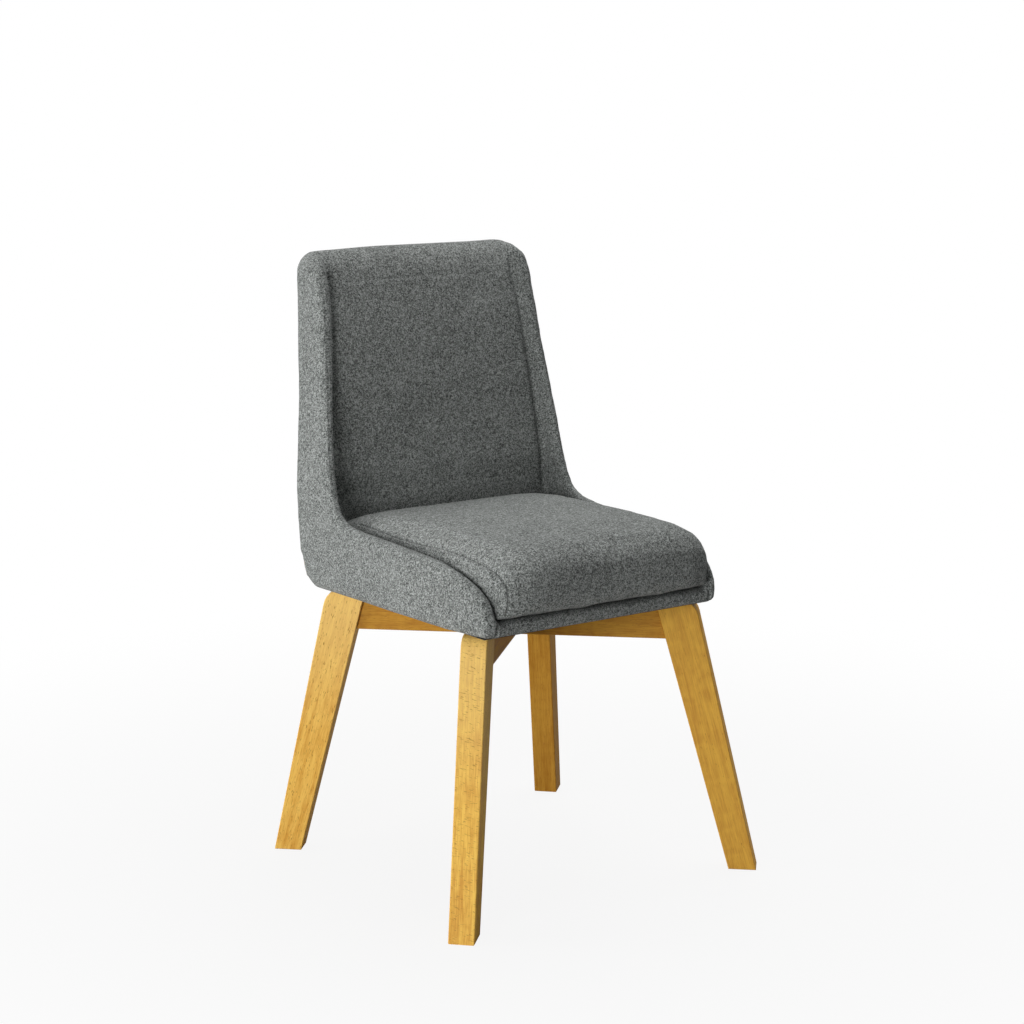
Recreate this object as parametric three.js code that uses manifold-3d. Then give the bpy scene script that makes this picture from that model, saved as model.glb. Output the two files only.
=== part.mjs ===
// Upholstered parsons chair: a winged back and seat shell on a crossed beech base.
// Millimetres, +Z up, the front faces -Y. The origin is on the floor, under the middle of the chair.
import * as THREE from 'three';
import { mergeVertices } from 'three/addons/utils/BufferGeometryUtils.js';
import Module from 'manifold-3d';

const wasm = await Module();
wasm.setup();

const { clamp, degToRad, lerp } = THREE.MathUtils;

// Fits and tool allowances
const fit = 0.3; // clearance between pieces that touch
const overrun = 2; // how far a cutting tool runs past the face that it cuts
const weldDistance = 0.0001;
const roundSides = 12;
const screwSides = 8;
const outerSides = 6; // cells across a wing's rounding, on its outside
const innerSides = 4; // and on the layers below it
const bendSteps = 4; // straight steps in a bend of the front band
const halvings = 24; // of the search for a height on a curve
const cushionCells = [10, 13, 4];

// Crossed base
const baseHeight = 377;
const baseAngle = degToRad(43.6); // from the width of the chair to each rail
const legThickness = 34;
const legTopReach = 255; // from the crossing to the outside of a leg, at the top
const legTopWidth = 54.5;
const legFootWidth = 38;
const frontFootReach = 344;
const rearFootReach = 335;
const legShoulderRadius = 19;
const woodEase = 1; // chamfer along the edges of the legs and rails
const railThickness = 22;
const railHeight = 54;
const dowelDiameter = 10;
const dowelLength = 50;
const dowelEdgeDistance = 15; // from the top or bottom edge of a rail to a dowel

// Fixings between base and seat
const boltReach = 118; // from the crossing, along a rail
const boltDiameter = 6;
const boltHeadDiameter = 11;
const boltHeadHeight = 5;
const hexKeyDiameter = 5;
const hexKeyDepth = 2.5;
const counterboreDepth = 24;
const washerDiameter = 14;
const washerClearance = 0.5; // round a washer in its counterbore
const washerThickness = 1.5;
const teeNutBarrelDiameter = 8;
const teeNutBarrelHeight = 9;
const teeNutFlangeDiameter = 19;
const teeNutFlangeThickness = 1.2;

// Shell, over its cover
const shellDepth = 485;
const shellSetBack = 22; // from the crossing of the rails to the middle of the shell
const shellHeight = 463.6;
const shellHalfWidth = 205;
const shellCornerRadius = 28; // top corners, seen from the front
const wingThickness = 20;
const wingNoseRadius = 11;
const wingRearRadius = 14;
const seamTuck = 4; // how far a cover runs on into a crease
const noseTurnInset = 17; // how far each side of the shell turns in at the nose
const noseTurnLength = 205; // from the nose back to where the sides start to turn in

// Cloth, foam and wood of the shell
const coverThickness = 1.6;
const dustCoverThickness = 0.8;
const wingPadding = 1.6; // foam outside a cheek
const cheekThicknessShare = 0.33; // of a wing
const cheekNoseInset = 8; // foam in front of a cheek
const cheekRearInsetShare = 0.65; // of the rounding behind and under a cheek
const backBoardThickness = 2.5;
const backRailDepth = 18;
const webbingThickness = 1.5;
const webbingWidth = 50;
const webbingSpacing = 88;
const seatBoardThickness = 15;
const seatBoardLift = 0.9; // over the rolled edges of the covers
const seatBoardNotchShare = 0.19; // narrow front of the board, of the shell's depth
const seatBoardFrontSetBack = 5.5;
const screwDiameter = 4;
const screwHeadDiameter = 8;
const screwLength = 34;
const screwHeadDepth = 2.6;
const screwHeadSink = 0.65; // how far a head lies below the face of its cheek

// Seat cushion and front band
const cushionSideGap = 0.5; // between the cushion and a wing
const cushionSeamInset = 12; // from the cushion's side to its top seam
const cushionFrontSeamInset = 8.5;
const cushionFootInset = 2.5; // how far its sides pull in at the bottom
const cushionCrownPower = 10;
const cushionBoxingDrop = 20; // from the top seam to the widest line of its sides
const bandSetBack = 13; // front band, behind the foremost point of the shell
const bandRadius = 5;
const bandReturn = 28; // how far the band runs back over and under the board
const dustCoverMargin = 22;

// Lines worked out from the sizes above
const counterboreDiameter = washerDiameter + 2 * washerClearance;
const footTipY = (frontFootReach - woodEase) * Math.sin(baseAngle) + legThickness / 2 * Math.cos(baseAngle);
const overallDepth = footTipY + shellSetBack + shellDepth / 2;
const crossY = footTipY - overallDepth / 2;
const railBottom = baseHeight - railHeight;
const shellRear = overallDepth / 2;
const shellFront = shellRear - shellDepth;
const noseTurnStart = shellFront + noseTurnLength;
const shellBase = baseHeight + fit + dustCoverThickness + fit;
const shellTop = shellBase + shellHeight;
const coverFit = coverThickness + fit;
const cheekOuter = coverFit + wingPadding + fit; // inset of the outer face of a cheek
const cheekInner = cheekOuter + cheekThicknessShare * wingThickness;
const cheekRearInset = cheekRearInsetShare * wingRearRadius;
const boardInset = coverFit;
const railInset = boardInset + backBoardThickness + fit;
const webbingInset = railInset + backRailDepth + fit;
const backFoamInset = webbingInset + webbingThickness + fit;
const seatBoardBottom = shellBase + coverFit + seatBoardLift;
const seatBoardTop = seatBoardBottom + seatBoardThickness;
const bandTop = seatBoardTop + coverFit;
const bandFront = shellFront + bandSetBack;
const cushionBottom = bandTop + fit;

// Stations round a wing, from the crest of the back down to the nose of the seat. Each row gives
// the depth and height of the front edge, then of the rear edge, as shares of the shell, then the
// thickness as a share of the wing and the depth of the crease as a share of edge to edge.
const stationShares = [
  [0.980, 1.000, 0.985, 0.999, 1.00, 0.00],
  [0.955, 0.999, 0.994, 0.992, 1.00, 0.00],
  [0.913, 0.990, 0.999, 0.976, 1.00, 0.03],
  [0.874, 0.957, 1.000, 0.948, 1.00, 0.21],
  [0.855, 0.909, 0.998, 0.909, 1.00, 0.26],
  [0.846, 0.862, 0.992, 0.862, 1.00, 0.26],
  [0.833, 0.802, 0.987, 0.802, 1.00, 0.24],
  [0.815, 0.694, 0.975, 0.694, 0.95, 0.24],
  [0.789, 0.564, 0.953, 0.556, 0.80, 0.31],
  [0.763, 0.435, 0.942, 0.400, 0.72, 0.39],
  [0.746, 0.349, 0.936, 0.280, 0.72, 0.40],
  [0.728, 0.290, 0.928, 0.200, 0.72, 0.43],
  [0.710, 0.254, 0.920, 0.122, 0.72, 0.49],
  [0.688, 0.234, 0.911, 0.058, 0.72, 0.57],
  [0.655, 0.220, 0.893, 0.018, 0.74, 0.69],
  [0.612, 0.211, 0.855, 0.000, 0.92, 0.68],
  [0.560, 0.206, 0.780, 0.000, 1.10, 0.62],
  [0.470, 0.201, 0.610, 0.000, 1.25, 0.60],
  [0.360, 0.197, 0.420, 0.000, 1.23, 0.60],
  [0.240, 0.189, 0.275, 0.000, 1.09, 0.60],
  [0.152, 0.170, 0.190, 0.000, 0.92, 0.58],
  [0.090, 0.144, 0.138, 0.000, 0.81, 0.55],
  [0.049, 0.113, 0.100, 0.000, 0.76, 0.50],
  [0.026, 0.077, 0.076, 0.000, 0.75, 0.45],
  [0.019, 0.042, 0.063, 0.000, 0.76, 0.36],
  [0.025, 0.014, 0.054, 0.000, 0.78, 0.25],
  [0.040, 0.001, 0.048, 0.000, 0.83, 0.00],
];
const lastStation = stationShares.length - 1;

// Half width of the shell against height, as shares, from its underside to the crest.
const halfWidthShares = [
  [0.000, 1.000], [0.200, 1.000], [0.284, 0.995], [0.435, 0.971],
  [0.564, 0.942], [0.694, 0.915], [0.862, 0.888], [1.000, 0.876],
];

// Seat cushion from its rear over the top to the front bottom edge: depth and height of the side
// seam, then of the middle line, then the depth of its flat underside, as shares of the shell.
const cushionShares = [
  [0.805, 0.180, 0.806, 0.205, 0.805],
  [0.719, 0.191, 0.729, 0.227, 0.719],
  [0.595, 0.199, 0.595, 0.240, 0.595],
  [0.471, 0.200, 0.471, 0.245, 0.471],
  [0.348, 0.203, 0.348, 0.246, 0.348],
  [0.245, 0.206, 0.212, 0.245, 0.245],
  [0.166, 0.199, 0.119, 0.240, 0.166],
  [0.092, 0.186, 0.053, 0.233, 0.110],
  [0.049, 0.172, 0.013, 0.219, 0.088],
  [0.020, 0.150, -0.019, 0.190, 0.075],
  [0.008, 0.112, -0.026, 0.146, 0.065],
  [0.010, 0.080, -0.022, 0.096, 0.056],
  [0.020, 0.055, -0.001, 0.057, 0.048],
];

// Stations at which pieces of the shell start, end or lie
const stations = {
  topSeam: 2,
  seamGap: 0.06,
  cheekTop: 3,
  cheekNose: 20,
  pocketGrow: 0.05, // by which the pocket for a cheek is longer than the cheek
  innerCoverEnd: 14,
  outerCoverEnd: 16,
  backBoardEnd: 12,
  seatBoardRear: 16,
  boardSide: [20, 19, 18, 17, 16],
  seatSide: [14, 26],
  foam: [1, 25],
  foamHook: [2, 3],
  topRail: [4.1, 5.2],
  lowerRail: [10, 11],
  rearRail: [12.3, 13.5],
  probe: 0.1, // over which the run of a path is taken
};

const boardScrewDepthShares = [0.27, 0.62]; // of the shell's depth
const boardScrewHeightShare = 0.8; // of the board's thickness
const railScrewDepthShare = 0.6; // of a back rail's depth
const roundingShare = 0.9; // most of half a section that the rounding of one edge may take
const noseSlopeShares = [0.1, 0.2]; // depth over which the seam nears the cushion's side

const colours = {
  beech: 0xd9a548,
  darkBeech: 0xc08a3c,
  plywood: 0xcdaa78,
  foam: 0xe8e2cf,
  wool: 0x80858a,
  webbing: 0x3c3a38,
  dustCover: 0x1c1d20,
  fibreboard: 0x8a6f52,
  steel: 0xb9bcc0,
};

// Geometry helpers

function weld(geometry) {
  const bare = geometry.clone();
  bare.deleteAttribute('normal');
  bare.deleteAttribute('uv');
  const merged = mergeVertices(bare, weldDistance);
  const kept = [];
  const corners = merged.index.array;
  for (let i = 0; i < corners.length; i += 3) {
    const [a, b, c] = corners.slice(i, i + 3);
    if (a !== b && b !== c && c !== a) {
      kept.push(a, b, c);
    }
  }
  merged.setIndex(kept);
  return merged;
}

function signedVolume(geometry) {
  const place = geometry.attributes.position;
  const corners = geometry.index.array;
  const [a, b, c] = [new THREE.Vector3(), new THREE.Vector3(), new THREE.Vector3()];
  let volume = 0;
  for (let i = 0; i < corners.length; i += 3) {
    a.fromBufferAttribute(place, corners[i]);
    b.fromBufferAttribute(place, corners[i + 1]);
    c.fromBufferAttribute(place, corners[i + 2]);
    volume += a.dot(b.cross(c));
  }
  return volume;
}

function facedOut(geometry) {
  if (signedVolume(geometry) < 0) {
    const corners = Array.from(geometry.index.array);
    geometry.setIndex(corners.reverse());
  }
  geometry.computeVertexNormals();
  return geometry;
}

function toSolid(geometry) {
  const welded = facedOut(weld(geometry));
  return new wasm.Manifold(new wasm.Mesh({
    numProp: 3,
    vertProperties: Float32Array.from(welded.attributes.position.array),
    triVerts: Uint32Array.from(welded.index.array),
  }));
}

function cut(geometry, ...tools) {
  let solid = toSolid(geometry);
  for (const tool of tools) {
    solid = solid.subtract(toSolid(tool));
  }
  const { vertProperties, triVerts } = solid.getMesh();
  const result = new THREE.BufferGeometry();
  result.setAttribute('position', new THREE.BufferAttribute(vertProperties, 3));
  result.setIndex(Array.from(triVerts));
  result.computeVertexNormals();
  return result;
}

function mirrored(geometry) {
  return facedOut(weld(geometry.clone().scale(-1, 1, 1)));
}

// A block of cells whose corner points, at shares u, v and w, are put in place by a rule.
function shapedBlock([across, along, up], place) {
  const geometry = weld(new THREE.BoxGeometry(1, 1, 1, across, along, up).translate(0.5, 0.5, 0.5));
  const corner = geometry.attributes.position;
  for (let i = 0; i < corner.count; i += 1) {
    corner.setXYZ(i, ...place(corner.getX(i), corner.getY(i), corner.getZ(i)));
  }
  return facedOut(geometry);
}

function turned(profile, sides = roundSides) {
  const points = profile.map(([radius, height]) => new THREE.Vector2(radius, height));
  return facedOut(weld(new THREE.LatheGeometry(points, sides)));
}

function rod(radius, bottom, top) {
  return turned([[0, bottom], [radius, bottom], [radius, top], [0, top]]);
}

function shapeOf(points) {
  return new THREE.Shape(points.map(([x, y]) => new THREE.Vector2(x, y)));
}

function plate(points, bottom, thickness) {
  const geometry = new THREE.ExtrudeGeometry(shapeOf(points), { depth: thickness, bevelEnabled: false });
  return geometry.translate(0, 0, bottom);
}

function piece(name, geometry, colour, roughness, metalness = 0) {
  const material = new THREE.MeshStandardMaterial({ color: colour, roughness, metalness });
  const mesh = new THREE.Mesh(geometry, material);
  mesh.name = name;
  return mesh;
}

// Crossed base. A diagonal's own frame has x along the rail, y up and z across the rail.

function easedBoard(shape, thickness) {
  const geometry = new THREE.ExtrudeGeometry(shape, {
    depth: thickness - 2 * woodEase,
    bevelSize: woodEase,
    bevelThickness: woodEase,
    bevelOffset: -woodEase,
    bevelSegments: 1,
    curveSegments: 5,
  });
  return geometry.translate(0, 0, woodEase - thickness / 2);
}

function legInnerReach(footReach, height) {
  return lerp(footReach - legFootWidth, legTopReach - legTopWidth, height / baseHeight);
}

function dowelHeights() {
  return [railBottom + dowelEdgeDistance, baseHeight - dowelEdgeDistance];
}

function dowelBody(footReach, side, height, clearance) {
  const middle = side * legInnerReach(footReach, height);
  const half = dowelLength / 2 + clearance;
  const body = rod(dowelDiameter / 2 + clearance, -half, half);
  return body.rotateZ(-Math.PI / 2).translate(middle, height, 0);
}

function legBody(footReach, side) {
  const slope = new THREE.Vector2(footReach - legTopReach, -baseHeight).setLength(legShoulderRadius);
  const shape = new THREE.Shape();
  shape.moveTo(side * footReach, 0);
  shape.lineTo(side * (legTopReach + slope.x), baseHeight + slope.y);
  const shoulder = side * (legTopReach - legShoulderRadius);
  shape.quadraticCurveTo(side * legTopReach, baseHeight, shoulder, baseHeight);
  shape.lineTo(side * (legTopReach - legTopWidth), baseHeight);
  shape.lineTo(side * (footReach - legFootWidth), 0);
  const holes = dowelHeights().map((height) => dowelBody(footReach, side, height, fit));
  return cut(easedBoard(shape, legThickness), ...holes);
}

function railBody(crossingAngle, lapAbove) {
  const shape = shapeOf([
    [fit - legInnerReach(frontFootReach, railBottom), railBottom],
    [legInnerReach(rearFootReach, railBottom) - fit, railBottom],
    [legInnerReach(rearFootReach, baseHeight) - fit, baseHeight],
    [fit - legInnerReach(frontFootReach, baseHeight), baseHeight],
  ]);
  const lapHeight = railHeight / 2 + overrun + fit / 2;
  const lapMiddle = railBottom + railHeight / 2 + (lapAbove ? 1 : -1) * (lapHeight / 2 - fit / 2);
  const lap = new THREE.BoxGeometry(2 * railHeight, lapHeight, railThickness + 2 * fit);
  const tools = [lap.rotateY(crossingAngle).translate(0, lapMiddle, 0)];
  for (const [footReach, side] of [[frontFootReach, -1], [rearFootReach, 1]]) {
    tools.push(...dowelHeights().map((height) => dowelBody(footReach, side, height, fit)));
    const bore = rod(boltDiameter / 2 + fit, railBottom, baseHeight + overrun);
    const counterbore = rod(counterboreDiameter / 2, railBottom - overrun, railBottom + counterboreDepth);
    tools.push(bore.translate(side * boltReach, 0, 0), counterbore.translate(side * boltReach, 0, 0));
  }
  return cut(easedBoard(shape, railThickness), ...tools);
}

function washerBody() {
  const bottom = railBottom + counterboreDepth - fit - washerThickness;
  const inner = boltDiameter / 2 + fit;
  const outer = washerDiameter / 2;
  const top = bottom + washerThickness;
  return turned([[inner, bottom], [outer, bottom], [outer, top], [inner, top], [inner, bottom]]);
}

function boltBody() {
  const headTop = railBottom + counterboreDepth - washerThickness - 2 * fit;
  const headBottom = headTop - boltHeadHeight;
  const head = boltHeadDiameter / 2;
  const shank = boltDiameter / 2;
  const socket = hexKeyDiameter / 2;
  return turned([
    [0, headBottom + hexKeyDepth], [socket, headBottom + hexKeyDepth], [socket, headBottom],
    [head - woodEase, headBottom], [head, headBottom + woodEase], [head, headTop],
    [shank, headTop], [shank, seatBoardTop], [0, seatBoardTop],
  ]);
}

function teeNutBody() {
  const flangeBottom = seatBoardTop + fit;
  const flangeTop = flangeBottom + teeNutFlangeThickness;
  const bore = boltDiameter / 2 + fit;
  const barrel = teeNutBarrelDiameter / 2;
  const flange = teeNutFlangeDiameter / 2;
  const bottom = flangeTop - teeNutBarrelHeight;
  return turned([
    [bore, bottom], [barrel, bottom], [barrel, flangeBottom], [flange, flangeBottom],
    [flange, flangeTop], [bore, flangeTop], [bore, bottom],
  ]);
}

function baseDiagonal(angle, otherAngle, lapAbove, [frontLeg, rearLeg]) {
  const diagonal = new THREE.Group();
  diagonal.position.set(0, crossY, 0);
  diagonal.rotation.set(Math.PI / 2, 0, angle, 'ZYX');
  const railName = lapAbove ? 'cross_rail_lower' : 'cross_rail_upper';
  diagonal.add(piece(railName, railBody(otherAngle - angle, lapAbove), colours.beech, 0.5));
  for (const [place, footReach, side] of [[frontLeg, frontFootReach, -1], [rearLeg, rearFootReach, 1]]) {
    diagonal.add(piece(`leg_${place}`, legBody(footReach, side), colours.beech, 0.5));
    dowelHeights().forEach((height, i) => {
      const name = `dowel_${place}_${i === 0 ? 'lower' : 'upper'}`;
      diagonal.add(piece(name, dowelBody(footReach, side, height, 0), colours.darkBeech, 0.7));
    });
    const fixings = [['base_bolt', boltBody()], ['base_washer', washerBody()], ['tee_nut', teeNutBody()]];
    for (const [kind, body] of fixings) {
      const placed = body.translate(side * boltReach, 0, 0);
      diagonal.add(piece(`${kind}_${place}`, placed, colours.steel, 0.35, 0.9));
    }
  }
  return diagonal;
}

// Lines of the shell. A point of a path is (depth, height), at a share s of the way round the wing.

function onShell(share) {
  return new THREE.Vector2(
    shellFront + Math.min(share.x, 1) * shellDepth,
    shellBase + clamp(share.y, 0, 1) * shellHeight,
  );
}

function shareCurve(rows, column) {
  return new THREE.SplineCurve(rows.map((row) => new THREE.Vector2(row[column], row[column + 1])));
}

const edgeCurve = shareCurve(stationShares, 0);
const rearCurve = shareCurve(stationShares, 2);
const sectionCurve = shareCurve(stationShares, 4);
const halfWidthCurve = shareCurve(halfWidthShares, 0);

const edgePath = (s) => onShell(edgeCurve.getPoint(s));
const rearPath = (s) => onShell(rearCurve.getPoint(s));
const station = (index) => index / lastStation;

// Rows of a piece between two stations: its two ends, and each whole station between them.
function stationRows([from, to]) {
  const first = Math.floor(from);
  const cells = Math.ceil(to) - first;
  return { cells, at: (r) => station(clamp(first + Math.round(r * cells), from, to)) };
}

function wingThicknessAt(s) {
  return wingThickness * sectionCurve.getPoint(s).x;
}

function creaseShareAt(s) {
  return clamp(sectionCurve.getPoint(s).y, 0, 1);
}

function creasePath(s) {
  return edgePath(s).lerp(rearPath(s), creaseShareAt(s));
}

// A path moved square to its run, towards the foam: turn is 1 on the front and -1 on the rear path.
function insetPoint(path, s, inset, turn) {
  const probe = station(stations.probe);
  const run = path(Math.min(s + probe, 1)).sub(path(Math.max(s - probe, 0))).setLength(inset);
  return path(s).add(new THREE.Vector2(-run.y, run.x).multiplyScalar(turn));
}

function sideShareAt(heightShare) {
  let low = 0;
  let high = 1;
  for (let i = 0; i < halvings; i += 1) {
    const middle = (low + high) / 2;
    if (halfWidthCurve.getPoint(middle).x < heightShare) {
      low = middle;
    } else {
      high = middle;
    }
  }
  return halfWidthCurve.getPoint(low).y;
}

// Half width at a (depth, height), for a face that lies inset inside the cover's outside.
function halfWidthAt(point, inset = 0) {
  const upright = shellHalfWidth * sideShareAt(clamp((point.y - shellBase) / shellHeight, 0, 1));
  const turnIn = clamp((noseTurnStart - point.x) / (noseTurnStart - shellFront), 0, 1);
  const radius = Math.max(shellCornerRadius - inset, 0);
  const rise = clamp(point.y - (shellTop - shellCornerRadius), 0, radius);
  const corner = radius - Math.sqrt(radius ** 2 - rise ** 2);
  return upright - noseTurnInset * turnIn ** 2 - corner - inset;
}

// Half width between the inner sides of the wings.
function innerHalfWidthAt(point, s) {
  return halfWidthAt(point) - wingThicknessAt(s) - fit;
}

// The share of the way round at which the section of a wing on the seat passes through a point.
function seatShareAt(point) {
  let [low, high] = stations.seatSide.map(station);
  for (let i = 0; i < halvings; i += 1) {
    const middle = (low + high) / 2;
    const edge = edgePath(middle);
    if (rearPath(middle).sub(edge).cross(point.clone().sub(edge)) < 0) {
      low = middle;
    } else {
      high = middle;
    }
  }
  return low;
}

// Half width of the front band, which fits between the narrowest places of the nose.
function bandHalfWidth() {
  const nose = stationRows([stations.cheekNose, lastStation]);
  const widths = Array.from({ length: nose.cells + 1 }, (_, i) => {
    const s = nose.at(i / nose.cells);
    return innerHalfWidthAt(edgePath(s), s);
  });
  return Math.min(...widths) - fit;
}

// Wings

// The whole blade of the left wing, with every face inset from the cover's outside.
function wingBlade(inset, sides, span) {
  const rows = stationRows(span);
  return shapedBlock([sides, 2, rows.cells], (p, q, r) => {
    const s = rows.at(r);
    const edge = insetPoint(edgePath, s, inset, 1);
    const rear = insetPoint(rearPath, s, inset, -1);
    const length = edge.distanceTo(rear);
    const most = length / 2 * roundingShare;
    const nose = Math.min(wingNoseRadius - inset, most);
    const heel = Math.min(wingRearRadius - inset, most);
    const drop = 1 - Math.sin(Math.PI * p);
    const inside = p > 0.5;
    const front = drop * (inside ? Math.min(nose, creaseShareAt(s) * length) : nose);
    const back = inside ? 0 : drop * heel;
    const point = edge.lerp(rear, lerp(front, length - back, q) / length);
    const outer = halfWidthAt(point, inset);
    const inner = halfWidthAt(point) - wingThicknessAt(s) + inset;
    return [-lerp(outer, inner, (1 - Math.cos(Math.PI * p)) / 2), point.x, point.y];
  });
}

// A plate that follows the left wing between two stations and two insets from its outer side.
function wingPlate(span, [front, back], [outer, inner]) {
  const rows = stationRows(span);
  return shapedBlock([1, 1, rows.cells], (p, q, r) => {
    const s = rows.at(r);
    const edge = insetPoint(edgePath, s, front, 1);
    const point = edge.lerp(insetPoint(rearPath, s, back, -1), q);
    return [-halfWidthAt(point, lerp(outer, inner, p)), point.x, point.y];
  });
}

// The tool that opens the hidden inner side of a cover or foam behind the crease.
function wingWindow(depth, back) {
  const rows = stationRows([stations.cheekTop, stations.cheekNose]);
  return shapedBlock([1, 1, rows.cells], (p, q, r) => {
    const s = rows.at(r);
    const edge = edgePath(s);
    const rear = insetPoint(rearPath, s, back, -1);
    const front = edge.clone().lerp(rearPath(s), creaseShareAt(s));
    const tuck = rear.clone().sub(edge).setLength(seamTuck);
    const point = front.add(tuck).lerp(rear, q);
    const across = lerp(depth(s), wingThicknessAt(s) + overrun, p);
    return [across - halfWidthAt(point), point.x, point.y];
  });
}

function wingCover() {
  const window = wingWindow((s) => wingThicknessAt(s) - 2 * coverThickness, coverThickness - fit / 2);
  const whole = [0, lastStation];
  return cut(wingBlade(0, outerSides, whole), wingBlade(coverThickness, innerSides, whole), window);
}

// A cheek, or with a clearance the pocket that holds it.
function cheekPlate(clearance) {
  const grown = clearance > 0 ? stations.pocketGrow : 0;
  return wingPlate(
    [stations.cheekTop - grown, stations.cheekNose + grown],
    [cheekNoseInset - clearance, cheekRearInset - clearance],
    [cheekOuter - clearance, cheekInner + clearance],
  );
}

function wingFoam() {
  const window = wingWindow(() => cheekInner - fit, 0);
  return cut(wingBlade(coverFit, innerSides, stations.foam), cheekPlate(fit), window);
}

// Screws through the cheeks, along x. Each place is (depth, height) with the inset of the rail or board.

function screwPlaces() {
  const middle = railInset + backRailDepth * railScrewDepthShare;
  const onRail = ([from, to]) => insetPoint(rearPath, station((from + to) / 2), middle, -1);
  const boardY = boardScrewDepthShares.map((share) => shellFront + share * shellDepth);
  const boardHeight = lerp(seatBoardBottom, seatBoardTop, boardScrewHeightShare);
  return {
    top_rail: onRail(stations.topRail),
    lower_rail: onRail(stations.lowerRail),
    rear_rail: onRail(stations.rearRail),
    board_front: new THREE.Vector2(boardY[0], boardHeight),
    board_rear: new THREE.Vector2(boardY[1], boardHeight),
  };
}

function screwBody(place, clearance) {
  const head = screwHeadDiameter / 2 + clearance;
  const shank = screwDiameter / 2 + clearance;
  const top = clearance > 0 ? overrun : 0;
  const body = turned([
    [0, top], [head, top], [head, -fit - clearance], [shank, -screwHeadDepth - clearance],
    [shank, -screwLength - clearance], [0, -screwLength - clearance],
  ], screwSides);
  const outside = halfWidthAt(place, cheekOuter) - screwHeadSink;
  return body.rotateZ(Math.PI / 2).translate(-outside, place.x, place.y);
}

function screwTools(...names) {
  const places = screwPlaces();
  return names.map((name) => screwBody(places[name], fit));
}

// Pieces across the back, laid out by their inset from the rear path

function backLayer({ span, insets, across = 1, halfWidth, middle = 0 }) {
  const rows = stationRows(span);
  return shapedBlock([across, 1, rows.cells], (p, q, r) => {
    const s = rows.at(r);
    const point = insetPoint(rearPath, s, lerp(insets[0], insets[1], q), -1);
    return [middle + lerp(-1, 1, p) * halfWidth(point, s), point.x, point.y];
  });
}

function backRail(span, screw) {
  const body = backLayer({
    span,
    insets: [railInset, railInset + backRailDepth],
    halfWidth: (point) => halfWidthAt(point, cheekInner) - fit,
  });
  const [tool] = screwTools(screw);
  return cut(body, tool, mirrored(tool));
}

function webbingStrap(middle) {
  return backLayer({
    span: [stations.topRail[0], stations.lowerRail[1]],
    insets: [webbingInset, webbingInset + webbingThickness],
    halfWidth: () => webbingWidth / 2,
    middle,
  });
}

function backBoard() {
  return backLayer({
    span: [stations.cheekTop, stations.backBoardEnd],
    insets: [boardInset, boardInset + backBoardThickness],
    across: 2,
    halfWidth: innerHalfWidthAt,
  });
}

function outerBackCover() {
  const start = stations.topSeam + stations.seamGap;
  return backLayer({
    span: [start, stations.outerCoverEnd],
    insets: [0, coverThickness],
    across: 4,
    halfWidth: innerHalfWidthAt,
  });
}

// The inner cover rises from behind the cushion, rolls over the crest and ends at the top seam.
function innerBackCover() {
  const front = stations.innerCoverEnd;
  const rows = front + stations.topSeam;
  const rowPoint = (row, inset) => {
    const s = station(Math.abs(row - front));
    return row <= front ? insetPoint(creasePath, s, inset, 1) : insetPoint(rearPath, s, inset, -1);
  };
  return shapedBlock([4, rows, 1], (p, q, r) => {
    const row = Math.round(q * rows);
    const point = rowPoint(row, r * coverThickness);
    const seam = rowPoint(row, 0);
    const width = innerHalfWidthAt(seam, station(Math.abs(row - front)));
    return [lerp(-1, 1, p) * width, point.x, point.y];
  });
}

// The back foam lies in front of the webbing and hooks over the top rail.
function backFoam() {
  const [hookEnd, slopeEnd] = stations.foamHook;
  return shapedBlock([4, 1, stations.innerCoverEnd], (p, q, r) => {
    const index = r * stations.innerCoverEnd;
    const s = station(index);
    const front = insetPoint(creasePath, s, coverFit, 1);
    const hook = clamp((index - hookEnd) / (slopeEnd - hookEnd), 0, 1);
    const rear = insetPoint(rearPath, s, lerp(railInset, backFoamInset, hook), -1);
    const point = front.lerp(rear, q);
    return [lerp(-1, 1, p) * innerHalfWidthAt(creasePath(s), s), point.x, point.y];
  });
}

// Seat

function bolt2d(side, angle) {
  return [side * boltReach * Math.cos(angle), crossY + side * boltReach * Math.sin(angle)];
}

function boltPlaces() {
  return [baseAngle, Math.PI - baseAngle].flatMap((angle) => [bolt2d(-1, angle), bolt2d(1, angle)]);
}

function uprightHoles(radius, bottom, top) {
  return boltPlaces().map(([x, y]) => rod(radius, bottom, top).rotateX(Math.PI / 2).translate(x, y, 0));
}

function seatBoardRear() {
  return insetPoint(rearPath, station(stations.seatBoardRear), railInset, -1).x;
}

function seatBoard() {
  const front = bandFront + seatBoardFrontSetBack;
  const shoulder = front + seatBoardNotchShare * shellDepth;
  const rear = seatBoardRear();
  const side = stations.boardSide.map((index) => {
    const point = insetPoint(rearPath, station(index), cheekRearInset, -1);
    return [halfWidthAt(point, cheekInner) - 2 * fit, clamp(point.x, shoulder, rear)];
  });
  const narrow = bandHalfWidth();
  const right = [[narrow, front], [narrow, shoulder], ...side];
  const left = right.map(([x, y]) => [-x, y]).reverse();
  const outline = [...right, ...left];
  const barrel = teeNutBarrelDiameter / 2 + fit;
  const holes = uprightHoles(barrel, seatBoardBottom - overrun, seatBoardTop + overrun);
  const screws = screwTools('board_front', 'board_rear');
  const body = plate(outline, seatBoardBottom, seatBoardThickness);
  return cut(body, ...holes, ...screws, ...screws.map(mirrored));
}

function dustCover() {
  const half = shellHalfWidth - dustCoverMargin;
  const front = bandFront + dustCoverMargin / 2;
  const rear = seatBoardRear();
  const outline = [[-half, front], [half, front], [half, rear], [-half, rear]];
  const bottom = baseHeight + fit;
  const holes = uprightHoles(boltDiameter / 2 + fit, bottom - overrun, bottom + overrun);
  return cut(plate(outline, bottom, dustCoverThickness), ...holes);
}

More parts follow.
